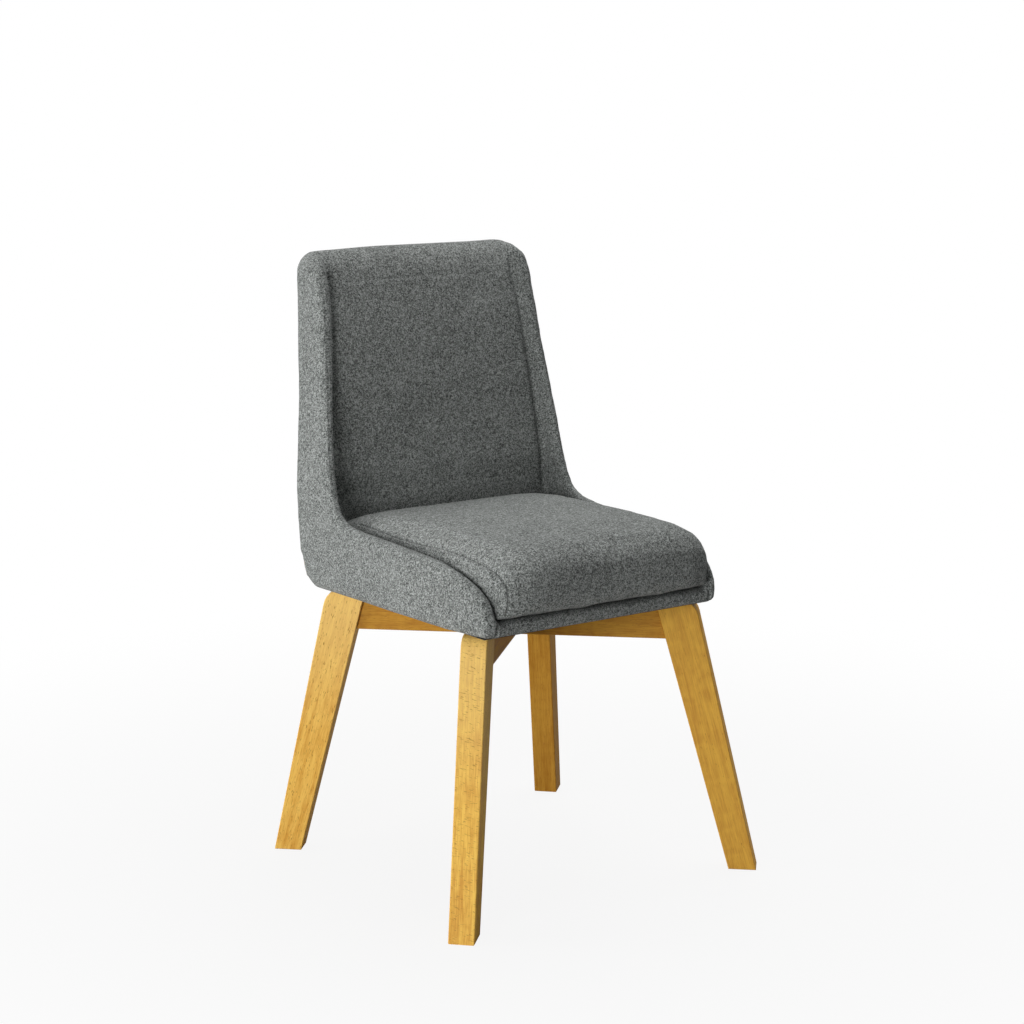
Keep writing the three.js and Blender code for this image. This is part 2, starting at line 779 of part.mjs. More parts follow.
// The band is a strip folded round the front edge of the board. Its outline lies in the y-z plane.
function frontBand() {
  const fold = (inset) => {
    const radius = bandRadius - inset;
    const [bottom, top, front] = [shellBase + inset, bandTop - inset, bandFront + inset];
    const corner = (y, z, from) => {
      const curve = new THREE.EllipseCurve(y, z, radius, radius, from, from - Math.PI / 2, true);
      return curve.getPoints(bendSteps).map((point) => [point.x, point.y]);
    };
    return [
      [front + bandReturn, bottom],
      ...corner(front + radius, bottom + radius, -Math.PI / 2),
      ...corner(front + radius, top - radius, Math.PI),
      [front + bandReturn, top],
    ];
  };
  const outline = [...fold(0), ...fold(coverThickness).reverse()];
  const half = bandHalfWidth();
  const geometry = plate(outline, 0, 2 * half);
  return geometry.applyMatrix4(new THREE.Matrix4().makeBasis(
    new THREE.Vector3(0, 1, 0),
    new THREE.Vector3(0, 0, 1),
    new THREE.Vector3(1, 0, 0),
  )).translate(-half, 0, 0);
}

const cushionSide = shareCurve(cushionShares, 0);
const cushionMiddle = shareCurve(cushionShares, 2);
const cushionUnderside = new THREE.SplineCurve(cushionShares.map((row) => new THREE.Vector2(row[4], 0)));

function cushionPath(curve) {
  return (s) => {
    const share = curve.getPoint(s);
    return new THREE.Vector2(shellFront + share.x * shellDepth, shellBase + share.y * shellHeight);
  };
}

// Half width of the cushion at a place on its side, from the underside up to the seam.
function cushionHalfWidthAt(point, seamHeight) {
  const [narrowShare, wideShare] = noseSlopeShares;
  const depthShare = (point.x - shellFront) / shellDepth;
  const noseShare = clamp((wideShare - depthShare) / (wideShare - narrowShare), 0, 1);
  const widest = innerHalfWidthAt(point, seatShareAt(point)) - cushionSideGap;
  const seamInset = lerp(cushionSeamInset, cushionFrontSeamInset, noseShare);
  const widestHeight = Math.max(seamHeight - cushionBoxingDrop, cushionBottom + fit);
  const rise = clamp((point.y - widestHeight) / (seamHeight - widestHeight), 0, 1);
  const fall = clamp((widestHeight - point.y) / (widestHeight - cushionBottom), 0, 1);
  return widest - seamInset * rise ** 2 - cushionFootInset * fall;
}

// Crowned cushion with its top panel sewn to boxing along the sides, rolled over at the front.
function cushionBody(inset, drop) {
  return shapedBlock(cushionCells, (p, q, r) => {
    const across = Math.sin(Math.PI / 2 * lerp(-1, 1, p));
    const s = lerp(inset / shellDepth, 1 - inset / shellDepth, q);
    const crown = 1 - Math.abs(across) ** cushionCrownPower;
    const side = insetPoint(cushionPath(cushionSide), s, inset, 1);
    const top = side.clone().lerp(insetPoint(cushionPath(cushionMiddle), s, inset, 1), crown);
    const base = new THREE.Vector2(cushionPath(cushionUnderside)(s).x, cushionBottom);
    const point = base.clone().lerp(top, r);
    const edge = base.clone().lerp(side, r);
    const half = cushionHalfWidthAt(edge, side.y) - inset;
    return [across * half, point.x, point.y - (r === 0 ? drop : 0)];
  });
}

function seatCushion() {
  const cover = cut(cushionBody(0, 0), cushionBody(coverThickness, overrun));
  return [
    piece('seat_cushion_cover', cover, colours.wool, 0.95),
    piece('seat_cushion_foam', cushionBody(coverFit, 0), colours.foam, 0.9),
  ];
}

// Assembly

function base() {
  const otherAngle = Math.PI - baseAngle;
  const group = new THREE.Group();
  group.add(baseDiagonal(baseAngle, otherAngle, true, ['front_left', 'rear_right']));
  group.add(baseDiagonal(otherAngle, baseAngle, false, ['front_right', 'rear_left']));
  return group;
}

function wings() {
  const group = new THREE.Group();
  const places = Object.entries(screwPlaces());
  const cheek = cut(cheekPlate(0), ...screwTools(...places.map(([name]) => name)));
  const bodies = [
    ['wing_cover', wingCover(), colours.wool, 0.95],
    ['wing_foam', wingFoam(), colours.foam, 0.9],
    ['cheek', cheek, colours.plywood, 0.7],
    ...places.map(([name, place]) => [`screw_${name}`, screwBody(place, 0), colours.steel, 0.35]),
  ];
  for (const [name, geometry, colour, roughness] of bodies) {
    group.add(piece(`${name}_left`, geometry, colour, roughness));
    group.add(piece(`${name}_right`, mirrored(geometry), colour, roughness));
  }
  return group;
}

function back() {
  const group = new THREE.Group();
  group.add(piece('back_top_rail', backRail(stations.topRail, 'top_rail'), colours.darkBeech, 0.7));
  group.add(piece('back_lower_rail', backRail(stations.lowerRail, 'lower_rail'), colours.darkBeech, 0.7));
  group.add(piece('seat_rear_rail', backRail(stations.rearRail, 'rear_rail'), colours.darkBeech, 0.7));
  for (const [name, side] of [['left', -1], ['middle', 0], ['right', 1]]) {
    const strap = webbingStrap(side * webbingSpacing);
    group.add(piece(`back_webbing_${name}`, strap, colours.webbing, 0.9));
  }
  group.add(piece('back_foam', backFoam(), colours.foam, 0.9));
  group.add(piece('back_board', backBoard(), colours.fibreboard, 0.8));
  group.add(piece('inner_back_cover', innerBackCover(), colours.wool, 0.95));
  group.add(piece('outer_back_cover', outerBackCover(), colours.wool, 0.95));
  return group;
}

function seat() {
  const group = new THREE.Group();
  group.add(piece('seat_board', seatBoard(), colours.plywood, 0.7));
  group.add(piece('front_band', frontBand(), colours.wool, 0.95));
  group.add(piece('dust_cover', dustCover(), colours.dustCover, 0.9));
  group.add(...seatCushion());
  return group;
}

const chair = new THREE.Group();
chair.add(base(), wings(), back(), seat());

export default chair;
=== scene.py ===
"""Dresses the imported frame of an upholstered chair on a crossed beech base, in metres."""

import logging
import math
from collections.abc import Callable, Sequence
from dataclasses import dataclass, field
from enum import Enum

import bpy
import numpy as np
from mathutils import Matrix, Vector, kdtree


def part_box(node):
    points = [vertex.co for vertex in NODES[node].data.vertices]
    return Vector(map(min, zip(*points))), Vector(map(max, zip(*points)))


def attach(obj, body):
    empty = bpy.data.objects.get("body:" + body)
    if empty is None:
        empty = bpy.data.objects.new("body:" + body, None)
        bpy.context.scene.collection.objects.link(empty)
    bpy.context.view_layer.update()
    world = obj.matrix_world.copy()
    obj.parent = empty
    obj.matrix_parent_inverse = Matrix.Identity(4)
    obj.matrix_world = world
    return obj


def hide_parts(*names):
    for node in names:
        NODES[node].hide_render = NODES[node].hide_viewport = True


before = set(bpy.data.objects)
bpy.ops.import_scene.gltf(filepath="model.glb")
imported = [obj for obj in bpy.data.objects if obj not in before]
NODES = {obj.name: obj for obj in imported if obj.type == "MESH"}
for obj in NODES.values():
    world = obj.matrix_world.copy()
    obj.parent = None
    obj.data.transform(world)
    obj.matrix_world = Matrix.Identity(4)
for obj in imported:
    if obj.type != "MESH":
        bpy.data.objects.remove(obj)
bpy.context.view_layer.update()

BODY = "root"
LOG = logging.getLogger("chair")

Point = tuple[float, float, float]
Colour = tuple[float, float, float]
Span = tuple[float, float]
Row = tuple[float, float, int]
Wave = tuple[float, float, float]
Cap = Callable[[np.ndarray, np.ndarray], np.ndarray]


class Side(Enum):
    """Left and right of somebody who looks at the chair's front, with the sign of x."""

    LEFT = -1
    RIGHT = 1

    @property
    def word(self) -> str:
        """The ending of this side's piece names."""
        return self.name.lower()

    @property
    def mirror(self) -> Point:
        """The factors that take this side's points to the right, and back again."""
        return (self.value, 1.0, 1.0)


# Shader maths


class Signal:
    """A shader socket on which Python arithmetic adds Math nodes."""

    def __init__(self, nodes: "Nodes", socket: bpy.types.NodeSocket) -> None:
        """Keeps an output socket and the maker of its tree."""
        self.nodes = nodes
        self.socket = socket

    def math(self, operation: str, *others: "Signal | float") -> "Signal":
        """The result of a Math node on this signal and others."""
        values = dict(enumerate((self, *others)))
        return self.nodes.node("ShaderNodeMath", {"operation": operation}, values)

    def __add__(self, other: "Signal | float") -> "Signal":
        """This signal plus another."""
        return self.math("ADD", other)

    def __mul__(self, other: "Signal | float") -> "Signal":
        """This signal times another."""
        return self.math("MULTIPLY", other)

    def __sub__(self, other: "Signal | float") -> "Signal":
        """This signal less another."""
        return self.math("SUBTRACT", other)

    def swing(self, gain: float) -> "Signal":
        """This noise's distance from its middle, times a gain."""
        return (self - 0.5) * gain

    def ramp(self, low: float, high: float) -> "Signal":
        """This signal taken smoothly onto 0 to 1.

        Args:
            low: The value that becomes 0.
            high: The value that becomes 1.

        Returns:
            The mapped signal.
        """
        settings = {"interpolation_type": "SMOOTHSTEP"}
        values = {0: self, 1: low, 2: high, 3: 0.0, 4: 1.0}
        return self.nodes.node("ShaderNodeMapRange", settings, values)


class Nodes:
    """Makes the nodes of one tree."""

    def __init__(self, owner: bpy.types.Material | bpy.types.World) -> None:
        """Clears a tree.

        Args:
            owner: The material or world whose tree is made.
        """
        owner.use_nodes = True
        self.tree = owner.node_tree
        self.tree.nodes.clear()

    def node(
        self,
        kind: str,
        settings: dict | None = None,
        sockets: dict | None = None,
        output: int | str = 0,
    ) -> Signal:
        """Adds a node.

        Args:
            kind: The node's type.
            settings: Its properties, which are set first.
            sockets: Input values or signals, by socket name or number.
            output: The output that the signal reads.

        Returns:
            The node's output as a signal.
        """
        made = self.tree.nodes.new(kind)
        for name, value in (settings or {}).items():
            setattr(made, name, value)
        for key, value in (sockets or {}).items():
            if isinstance(value, Signal):
                self.tree.links.new(value.socket, made.inputs[key])
            else:
                made.inputs[key].default_value = value
        return Signal(self, made.outputs[output] if made.outputs else None)


class Palette(Nodes):
    """Makes one material's nodes."""

    def __init__(self, name: str) -> None:
        """Starts a material of this name."""
        self.material = bpy.data.materials.new(name)
        super().__init__(self.material)

    def place(self) -> Signal:
        """The point on the object, in metres."""
        return self.node("ShaderNodeTexCoord", output="Object")

    def axes(self, along: Point, across: Point) -> Signal:
        """The point in axes that lie with a piece's grain.

        Args:
            along: The unit direction that becomes x.
            across: The unit direction that becomes y.

        Returns:
            The turned point.
        """
        third = Vector(along).cross(Vector(across))
        parts = [self.dot(direction) for direction in (along, across, tuple(third))]
        return self.node("ShaderNodeCombineXYZ", sockets=dict(enumerate(parts)))

    def dot(self, direction: Point) -> Signal:
        """The point's distance along a direction, in metres."""
        sockets = {0: self.place(), 1: direction}
        return self.node("ShaderNodeVectorMath", {"operation": "DOT_PRODUCT"}, sockets, "Value")

    def waves(self, direction: Point, pitch: float) -> Signal:
        """A wave from -1 to 1 along a direction, whose ridges and hollows lie a pitch apart."""
        return (self.dot(direction) * (math.pi / pitch)).math("SINE")

    def stretch(self, point: Signal, scale: Point) -> Signal:
        """A point with its axes scaled."""
        settings = {"operation": "MULTIPLY"}
        return self.node("ShaderNodeVectorMath", settings, {0: point, 1: scale})

    def noise(
        self, point: Signal, scale: float, detail: float = 2.0, twist: float = 0.0
    ) -> Signal:
        """Soft noise about 0.5 whose marks are about 1 / scale metres.

        Args:
            point: The point to read it at.
            scale: Marks to the metre.
            detail: How many finer layers it has.
            twist: How far it distorts itself.

        Returns:
            The noise.
        """
        sockets = {"Vector": point, "Scale": scale, "Detail": detail, "Distortion": twist}
        return self.node("ShaderNodeTexNoise", {"noise_dimensions": "3D"}, sockets)

    def blend(self, share: Signal, first: Signal | Colour, second: Signal | Colour) -> Signal:
        """A colour between two others.

        Args:
            share: 0 for the first colour and 1 for the second.
            first: The first colour.
            second: The second colour.

        Returns:
            The mixed colour.
        """
        pair = [c if isinstance(c, Signal) else (*c, 1.0) for c in (first, second)]
        settings = {"data_type": "RGBA", "clamp_factor": True}
        return self.node("ShaderNodeMix", settings, {0: share, 6: pair[0], 7: pair[1]}, 2)

    def finish(
        self, relief: Signal, depth: float, strength: float, **sockets: object
    ) -> bpy.types.Material:
        """Closes the material with one Principled shader.

        Args:
            relief: The height of the surface.
            depth: The relief's depth in metres.
            strength: The share of it that shows.
            sockets: The shader's inputs, with _ for a space.

        Returns:
            The finished material.
        """
        values = {name.replace("_", " "): value for name, value in sockets.items()}
        bump = {"Strength": strength, "Distance": depth, "Height": relief}
        values["Normal"] = self.node("ShaderNodeBump", sockets=bump)
        shader = self.node("ShaderNodeBsdfPrincipled", sockets=values)
        self.node("ShaderNodeOutputMaterial", sockets={"Surface": shader})
        return self.material


# Finishes


@dataclass(frozen=True)
class Felt:
    """Felted wool cloth of mixed pale and dark fibres."""

    name: str = "grey_wool_felt"
    slot: str = "wool_felt"
    dark: Colour = (0.042, 0.046, 0.043)
    pale: Colour = (0.410, 0.431, 0.417)

    def material(self) -> bpy.types.Material:
        """Makes the material."""
        palette = Palette(self.name)
        point = palette.place()
        tuft = palette.noise(point, 520.0, 2.0, 0.5)
        fibre = palette.noise(point, 1000.0, 1.0, 0.5)
        tangle = palette.noise(point, 210.0, 2.0, 1.0)
        flecks = tuft.swing(2.3) + fibre.swing(1.2)
        cloud = palette.noise(point, 16.0)
        share = flecks * 1.05 + tangle.swing(1.1) + cloud.swing(0.2) + 0.55
        # The square darkens the middle tones, so that the pale fibres stand out.
        share = share * (share * 0.515 + 0.485)
        return palette.finish(
            tuft * 0.55 + fibre * 0.45,
            depth=0.0012,
            strength=0.6,
            Base_Color=palette.blend(share, self.dark, self.pale),
            Roughness=0.95,
            Specular_IOR_Level=0.08,
            Sheen_Weight=0.08,
            Sheen_Roughness=0.6,
        )


@dataclass(frozen=True)
class Thread:
    """Dark grey sewing thread, twisted along its length, coloured near black as painted shade for
    the shadow in the seam's groove.
    """

    name: str = "grey_seam_thread"

    def material(self) -> bpy.types.Material:
        """Makes the material."""
        palette = Palette(self.name)
        twist = palette.noise(palette.place(), 1500.0, 1.0)
        return palette.finish(
            twist,
            depth=0.0002,
            strength=0.5,
            # Painted shade: the near-black colours stand in for the shadow inside the seam.
            Base_Color=palette.blend(twist, (0.020, 0.021, 0.020), (0.075, 0.078, 0.076)),
            Roughness=0.9,
        )


@dataclass(frozen=True)
class Wood:
    """Wood whose grain lies along a direction, with the short dark rays of beech.

    Its colours run from honey to pale. Painted light lightens the upper part of a leg towards a
    pale top colour, and a shade factor below 1 darkens both colours as painted shade.
    """

    name: str
    along: Point
    across: Point
    pale: Colour = (0.920, 0.570, 0.135)
    honey: Colour = (0.700, 0.340, 0.050)
    ray: Colour = (0.360, 0.150, 0.022)
    rays: float = 0.8
    ray_level: float = 0.64
    ray_turn: float = 0.0
    pale_top: Colour = (0.930, 0.690, 0.270)
    bleach: float = 0.4
    shade: float = 1.0
    roughness: float = 0.55

    def material(self) -> bpy.types.Material:
        """Makes the material."""
        palette = Palette(self.name)
        point = palette.axes(self.along, self.across)
        turned = palette.axes(*self.turned_axes())
        rings = palette.noise(palette.stretch(point, (1.6, 1.0, 1.0)), 38.0, 3.0, 0.5)
        streaks = palette.noise(palette.stretch(point, (0.035, 1.0, 1.0)), 620.0, 3.0)
        broad = palette.noise(palette.stretch(point, (0.06, 1.0, 1.0)), 150.0, 2.0, 0.3)
        pores = palette.noise(palette.stretch(point, (0.06, 1.0, 1.0)), 1100.0, 1.0)
        dashes = palette.noise(palette.stretch(turned, (0.17, 1.0, 1.0)), 860.0, 1.0)
        marks = palette.noise(palette.stretch(turned, (0.22, 1.0, 1.0)), 95.0, 2.0, 0.4)
        grain = streaks.swing(1.7) + pores.swing(1.5)
        figure = broad.swing(1.7) + grain + rings.swing(1.1) + 0.56
        ray = dashes.ramp(self.ray_level, self.ray_level + 0.07) * self.rays
        mark = marks.ramp(0.72, 0.80) * 0.6
        # Painted shade: the shade factor darkens both colours for wood that stands in shadow.
        honey, pale = (tuple(part * self.shade for part in c) for c in (self.honey, self.pale))
        plain = palette.blend(figure, honey, pale)
        # Painted light: the upper part of a lit leg is lightened towards a pale colour.
        bleached = palette.dot((0.0, 0.0, 1.0)).ramp(0.14, 0.36) * self.bleach
        lighter = palette.blend(bleached, plain, self.pale_top)
        flecked = palette.blend(ray, lighter, self.ray)
        return palette.finish(
            streaks * 0.6 - ray * 0.25,
            depth=0.00035,
            strength=0.35,
            Base_Color=palette.blend(mark, flecked, self.ray),
            Roughness=figure * 0.12 + (self.roughness - 0.06),
            Specular_IOR_Level=0.14,
        )

    def turned_axes(self) -> tuple[Point, Point]:
        """The directions along and across the rays, which may be turned from the grain."""
        along, across = Vector(self.along), Vector(self.across)
        cosine, sine = math.cos(self.ray_turn), math.sin(self.ray_turn)
        return tuple(along * cosine + across * sine), tuple(across * cosine - along * sine)


@dataclass(frozen=True)
class Layered:
    """Plywood whose plies lie across a direction."""

    name: str
    across: Point
    ply: float = 0.0015

    def material(self) -> bpy.types.Material:
        """Makes the material."""
        palette = Palette(self.name)
        layer = palette.waves(self.across, self.ply)
        drawn = palette.stretch(palette.place(), (1.0, 0.06, 0.5))
        grain = palette.noise(drawn, 240.0, 3.0, 0.2)
        share = layer * 0.22 + grain.swing(1.1) + 0.5
        return palette.finish(
            grain,
            depth=0.0004,
            strength=0.3,
            Base_Color=palette.blend(share, (0.36, 0.21, 0.10), (0.70, 0.52, 0.31)),
            Roughness=grain * 0.2 + 0.55,
        )


@dataclass(frozen=True)
class Board:
    """Pressed brown fibreboard."""

    name: str = "brown_fibreboard"

    def material(self) -> bpy.types.Material:
        """Makes the material."""
        palette = Palette(self.name)
        point = palette.place()
        chips = palette.noise(point, 420.0, 3.0, 1.2)
        share = chips.swing(1.4) + palette.noise(point, 30.0).swing(0.4) + 0.5
        return palette.finish(
            chips,
            depth=0.0004,
            strength=0.4,
            Base_Color=palette.blend(share, (0.13, 0.068, 0.032), (0.33, 0.19, 0.10)),
            Roughness=chips * 0.2 + 0.6,
        )


@dataclass(frozen=True)
class Steel:
    """Zinc plated steel with faint spangle."""

    name: str = "zinc_plated_steel"

    def material(self) -> bpy.types.Material:
        """Makes the material."""
        palette = Palette(self.name)
        point = palette.place()
        spangle = palette.noise(point, 700.0, 2.0, 0.8)
        rubbed = palette.noise(point, 160.0)
        return palette.finish(
            spangle,
            depth=0.0001,
            strength=0.2,
            Base_Color=palette.blend(rubbed, (0.42, 0.43, 0.45), (0.66, 0.67, 0.68)),
            Metallic=1.0,
            Roughness=spangle * 0.3 + 0.22,
        )


@dataclass(frozen=True)
class Webbing:
    """Woven elastic webbing."""

    name: str = "woven_webbing"
    slot: str = "webbing"
    thread: float = 0.0022

    def material(self) -> bpy.types.Material:
        """Makes the material."""
        palette = Palette(self.name)
        warp = palette.waves((1.0, 0.0, 0.0), self.thread)
        weave = warp * palette.waves((0.0, 0.0, 1.0), self.thread)
        fuzz = palette.noise(palette.place(), 900.0)
        share = weave * 0.3 + fuzz.swing(0.5) + 0.5
        return palette.finish(
            weave * 0.5 + fuzz * 0.2,
            depth=0.0006,
            strength=0.6,
            Base_Color=palette.blend(share, (0.20, 0.17, 0.12), (0.50, 0.44, 0.33)),
            Roughness=0.85,
        )


@dataclass(frozen=True)
class DustCloth:
    """Thin black bonded cloth with a pressed dimple pattern."""

    name: str = "black_dust_cloth"
    slot: str = "dust_cloth"
    dimple: float = 0.0024

    def material(self) -> bpy.types.Material:
        """Makes the material."""
        palette = Palette(self.name)
        rows = palette.waves((0.7071, 0.7071, 0.0), self.dimple)
        press = rows * palette.waves((0.7071, -0.7071, 0.0), self.dimple)
        fibre = palette.noise(palette.place(), 800.0, 3.0, 1.0)
        share = press * 0.25 + fibre.swing(0.8) + 0.5
        return palette.finish(
            press * 0.4 + fibre * 0.4,
            depth=0.0004,
            strength=0.6,
            Base_Color=palette.blend(share, (0.010, 0.010, 0.011), (0.040, 0.040, 0.042)),
            Roughness=0.9,
        )


# Modelling

# The distance between the points of a drawn line.
STEP = 0.0008


def fade(values: np.ndarray, start: float | np.ndarray, span: float) -> np.ndarray:
    """Shares that rise gently from 0 at a start to 1 where values are a span further on."""
    held = np.clip((values - start) / span, 0.0, 1.0)
    return held * held * (3.0 - 2.0 * held)


def curve(places: np.ndarray | Sequence[Point]) -> np.ndarray:
    """Draws a smooth line through places.

    Args:
        places: The places that it passes through.

    Returns:
        Points of the line, one to a row, about a step apart.
    """
    knots = np.asarray(places, float)
    padded = np.vstack([2 * knots[0] - knots[1], knots, 2 * knots[-1] - knots[-2]])
    parts = []
    for a, b, c, d in zip(padded, padded[1:], padded[2:], padded[3:]):
        count = max(2, int(np.linalg.norm(c - b) / STEP))
        t = np.linspace(0.0, 1.0, count, endpoint=False)[:, None]
        spline = 2 * b + (c - a) * t + (2 * a - 5 * b + 4 * c - d) * t**2
        parts.append((spline + (3 * b - a - 3 * c + d) * t**3) / 2)
    return np.vstack([*parts, knots[-1:]])


def add_object(name: str, data: bpy.types.ID) -> bpy.types.Object:
    """Adds an object of this name to the scene, with its mesh, curve, lamp or camera."""
    bpy.context.scene.collection.objects.link(made := bpy.data.objects.new(name, data))
    return made


@dataclass(frozen=True)
class Groove:
    """The shape of a drawn seam: half its width, its depth and the rise beside it.

    The rise is a share of the depth. It is highest at 2.2 half widths and 1.1 of them wide.
    """

    width: float
    depth: float
    rise: float

    def shape(self, away: np.ndarray) -> np.ndarray:
        """The lift at each distance from the seam, as a share of the depth."""
        rise = np.exp(-(((away - 2.2 * self.width) / (1.1 * self.width)) ** 2))
        return -np.exp(-((away / self.width) ** 2)) + self.rise * rise


class Piece:
    """A mesh object and the modelling steps that work on it."""

    def __init__(self, thing: bpy.types.Object) -> None:
        """Takes a mesh object."""
        self.thing = thing

    @staticmethod
    def only(*pieces: "Piece") -> None:
        """Selects these pieces alone, the first of them active."""
        bpy.ops.object.select_all(action="DESELECT")
        for piece in pieces:
            piece.thing.select_set(True)
        bpy.context.view_layer.objects.active = pieces[0].thing

    @staticmethod
    def join(*pieces: "Piece") -> None:
        """Joins pieces into the first of them."""
        Piece.only(*pieces)
        bpy.ops.object.join()

    @classmethod
    def copies(cls, name: str, *nodes: str) -> "Piece":
        """Copies CAD nodes into one new object, with their loose triangles merged.

        Args:
            name: The new object's name.
            nodes: The CAD nodes to copy.

        Returns:
            The new piece.
        """
        made = [cls(add_object(name, NODES[node].data.copy())) for node in nodes]
        for piece in made:
            piece.thing.data.materials.clear()
        if len(made) > 1:
            cls.join(*made)
        made[0].edit(bpy.ops.mesh.remove_doubles, threshold=1e-5)
        made[0].thing.name = name
        return made[0]

    @classmethod
    def tube(cls, name: str, line: np.ndarray, radius: float) -> "Piece":
        """Makes a round thread along a line.

        Args:
            name: The thread's name.
            line: Points of the line.
            radius: The thread's radius.

        Returns:
            The thread, as a mesh.
        """
        data = bpy.data.curves.new(name, "CURVE")
        data.dimensions = "3D"
        data.bevel_depth = radius
        data.bevel_resolution = 1
        data.use_fill_caps = True
        spline = data.splines.new("POLY")
        spline.points.add(len(line) - 1)
        spline.points.foreach_set("co", np.column_stack([line, np.ones(len(line))]).ravel())
        cls.only(cls(add_object(name, data)))
        bpy.ops.object.convert(target="MESH")
        return cls(bpy.context.view_layer.objects.active)

    def edit(self, step: Callable[..., set[str]], **settings: object) -> None:
        """Runs one edit mode step on the whole piece.

        Args:
            step: The operator.
            settings: The operator's settings.
        """
        Piece.only(self)
        bpy.ops.object.mode_set(mode="EDIT")
        bpy.ops.mesh.select_all(action="SELECT")
        step(**settings)
        bpy.ops.object.mode_set(mode="OBJECT")

    def apply(self, kind: str, **settings: object) -> None:
        """Adds a modifier and applies it.

        Args:
            kind: The modifier's type.
            settings: The modifier's settings.
        """
        modifier = self.thing.modifiers.new(kind.title(), kind)
        for name, value in settings.items():
            setattr(modifier, name, value)
        Piece.only(self)
        bpy.ops.object.modifier_apply(modifier=modifier.name)

    def points(self) -> np.ndarray:
        """The piece's points, one to a row."""
        flat = np.empty(len(self.thing.data.vertices) * 3)
        self.thing.data.vertices.foreach_get("co", flat)
        return flat.reshape(-1, 3)

    def normals(self) -> np.ndarray:
        """The normals at the piece's points, one to a row."""
        flat = np.empty(len(self.thing.data.vertices) * 3, np.float32)
        self.thing.data.vertex_normals.foreach_get("vector", flat)
        return flat.reshape(-1, 3).astype(float)

    def put(self, points: np.ndarray) -> None:
        """Moves the piece's points to new places."""
        self.thing.data.vertices.foreach_set("co", points.ravel())
        self.thing.data.update()

    def shift(self, step: Callable[[np.ndarray], None]) -> None:
        """Moves the piece's points.

        Args:
            step: Changes an array of the points, one to a row.
        """
        points = self.points()
        step(points)
        self.put(points)

    def remesh(self, voxel: float) -> None:
        """Makes one closed skin with even faces, and keeps its largest connected shell.

        Args:
            voxel: The size of the faces.
        """
        self.apply("REMESH", mode="VOXEL", voxel_size=voxel, adaptivity=0.0)
        name = self.thing.name
        self.edit(bpy.ops.mesh.separate, type="LOOSE")
        parts = sorted(bpy.context.selected_objects, key=lambda o: -len(o.data.vertices))
        for part in parts[1:]:
            bpy.data.objects.remove(part)
        self.thing = parts[0]
        self.thing.name = name

    def soften(self) -> None:
        """Smooths voxel steps away while the volume stays, in passes in and out."""
        for factor in (0.5, -0.53) * 3:
            self.apply("SMOOTH", factor=factor, iterations=1)

    def swell(self, cap: Cap, pressure: float = 4.0, frames: int = 20) -> None:
        """Lets the skin swell as cloth under pressure from inside.

        Args:
            cap: Gives the moves that are kept, from the points and the cloth's moves.
            pressure: The pressure inside.
            frames: How many frames the cloth runs.
        """
        before = self.points()
        cloth = self.thing.modifiers.new("Swell", "CLOTH")
        cloth.settings.use_pressure = True
        cloth.settings.uniform_pressure_force = pressure
        cloth.settings.effector_weights.gravity = 0.0
        cloth.point_cache.frame_start = 1
        cloth.point_cache.frame_end = frames
        for number in range(1, frames + 1):
            bpy.context.scene.frame_set(number)
        Piece.only(self)
        bpy.ops.object.modifier_apply(modifier=cloth.name)
        bpy.context.scene.frame_set(1)
        self.put(before + cap(before, self.points() - before))

    def away(self, line: np.ndarray) -> tuple[np.ndarray, np.ndarray]:
        """Measures how far the piece's points lie from a line.

        Args:
            line: Points of the line, close together.

        Returns:
            Each point's distance from the line, and the number of the line's point next to it.
        """
        tree = kdtree.KDTree(len(line))
        for index, place in enumerate(line):
            tree.insert(Vector(place), index)
        tree.balance()
        found = [tree.find(Vector(point)) for point in self.points()]
        return np.array([f[2] for f in found]), np.array([f[1] for f in found])

    def refine(self, line: np.ndarray, reach: float) -> None:
        """Halves the faces that lie near a line.

        Args:
            line: Points of the line.
            reach: How near a face's corners are.
        """
        near = self.away(line)[0] < reach
        Piece.only(self)
        bpy.ops.object.mode_set(mode="EDIT")
        bpy.ops.mesh.select_mode(type="FACE")
        bpy.ops.mesh.select_all(action="DESELECT")
        bpy.ops.object.mode_set(mode="OBJECT")
        for face in self.thing.data.polygons:
            face.select = any(near[v] for v in face.vertices)
        bpy.ops.object.mode_set(mode="EDIT")
        bpy.ops.mesh.subdivide(number_cuts=1, smoothness=0.0)
        bpy.ops.object.mode_set(mode="OBJECT")

    def groove(
        self, line: np.ndarray, groove: Groove, share: float | np.ndarray = 1.0
    ) -> None:
        """Draws a seam into the surface.

        Args:
            line: Points of the seam, close together.
            groove: The seam's shape.
            share: The share of its depth, in all or at each point of the line.
        """
        away, nearest = self.away(line)
        deep = np.broadcast_to(groove.depth * share, len(line))[nearest]
        self.put(self.points() + self.normals() * (groove.shape(away) * deep)[:, None])

    def onto(self, line: np.ndarray) -> np.ndarray:
        """The points of the piece's surface that lie nearest to a line's points."""
        return np.array([self.thing.closest_point_on_mesh(Vector(place))[1] for place in line])

    def even(self, values: np.ndarray, rounds: int) -> np.ndarray:
        """Evens out values between neighbouring points.

        Args:
            values: One value for each point.
            rounds: How many passes are made.

        Returns:
            The evened values.
        """
        pairs = np.empty(len(self.thing.data.edges) * 2, int)
        self.thing.data.edges.foreach_get("vertices", pairs)
        pairs = pairs.reshape(-1, 2)
        first, second = np.vstack([pairs, pairs[:, ::-1]]).T
        count = np.maximum(np.bincount(first, minlength=len(values)), 1)
        for _ in range(rounds):
            total = np.bincount(first, values[second], len(values))
            values = (values + total / count) / 2
        return values

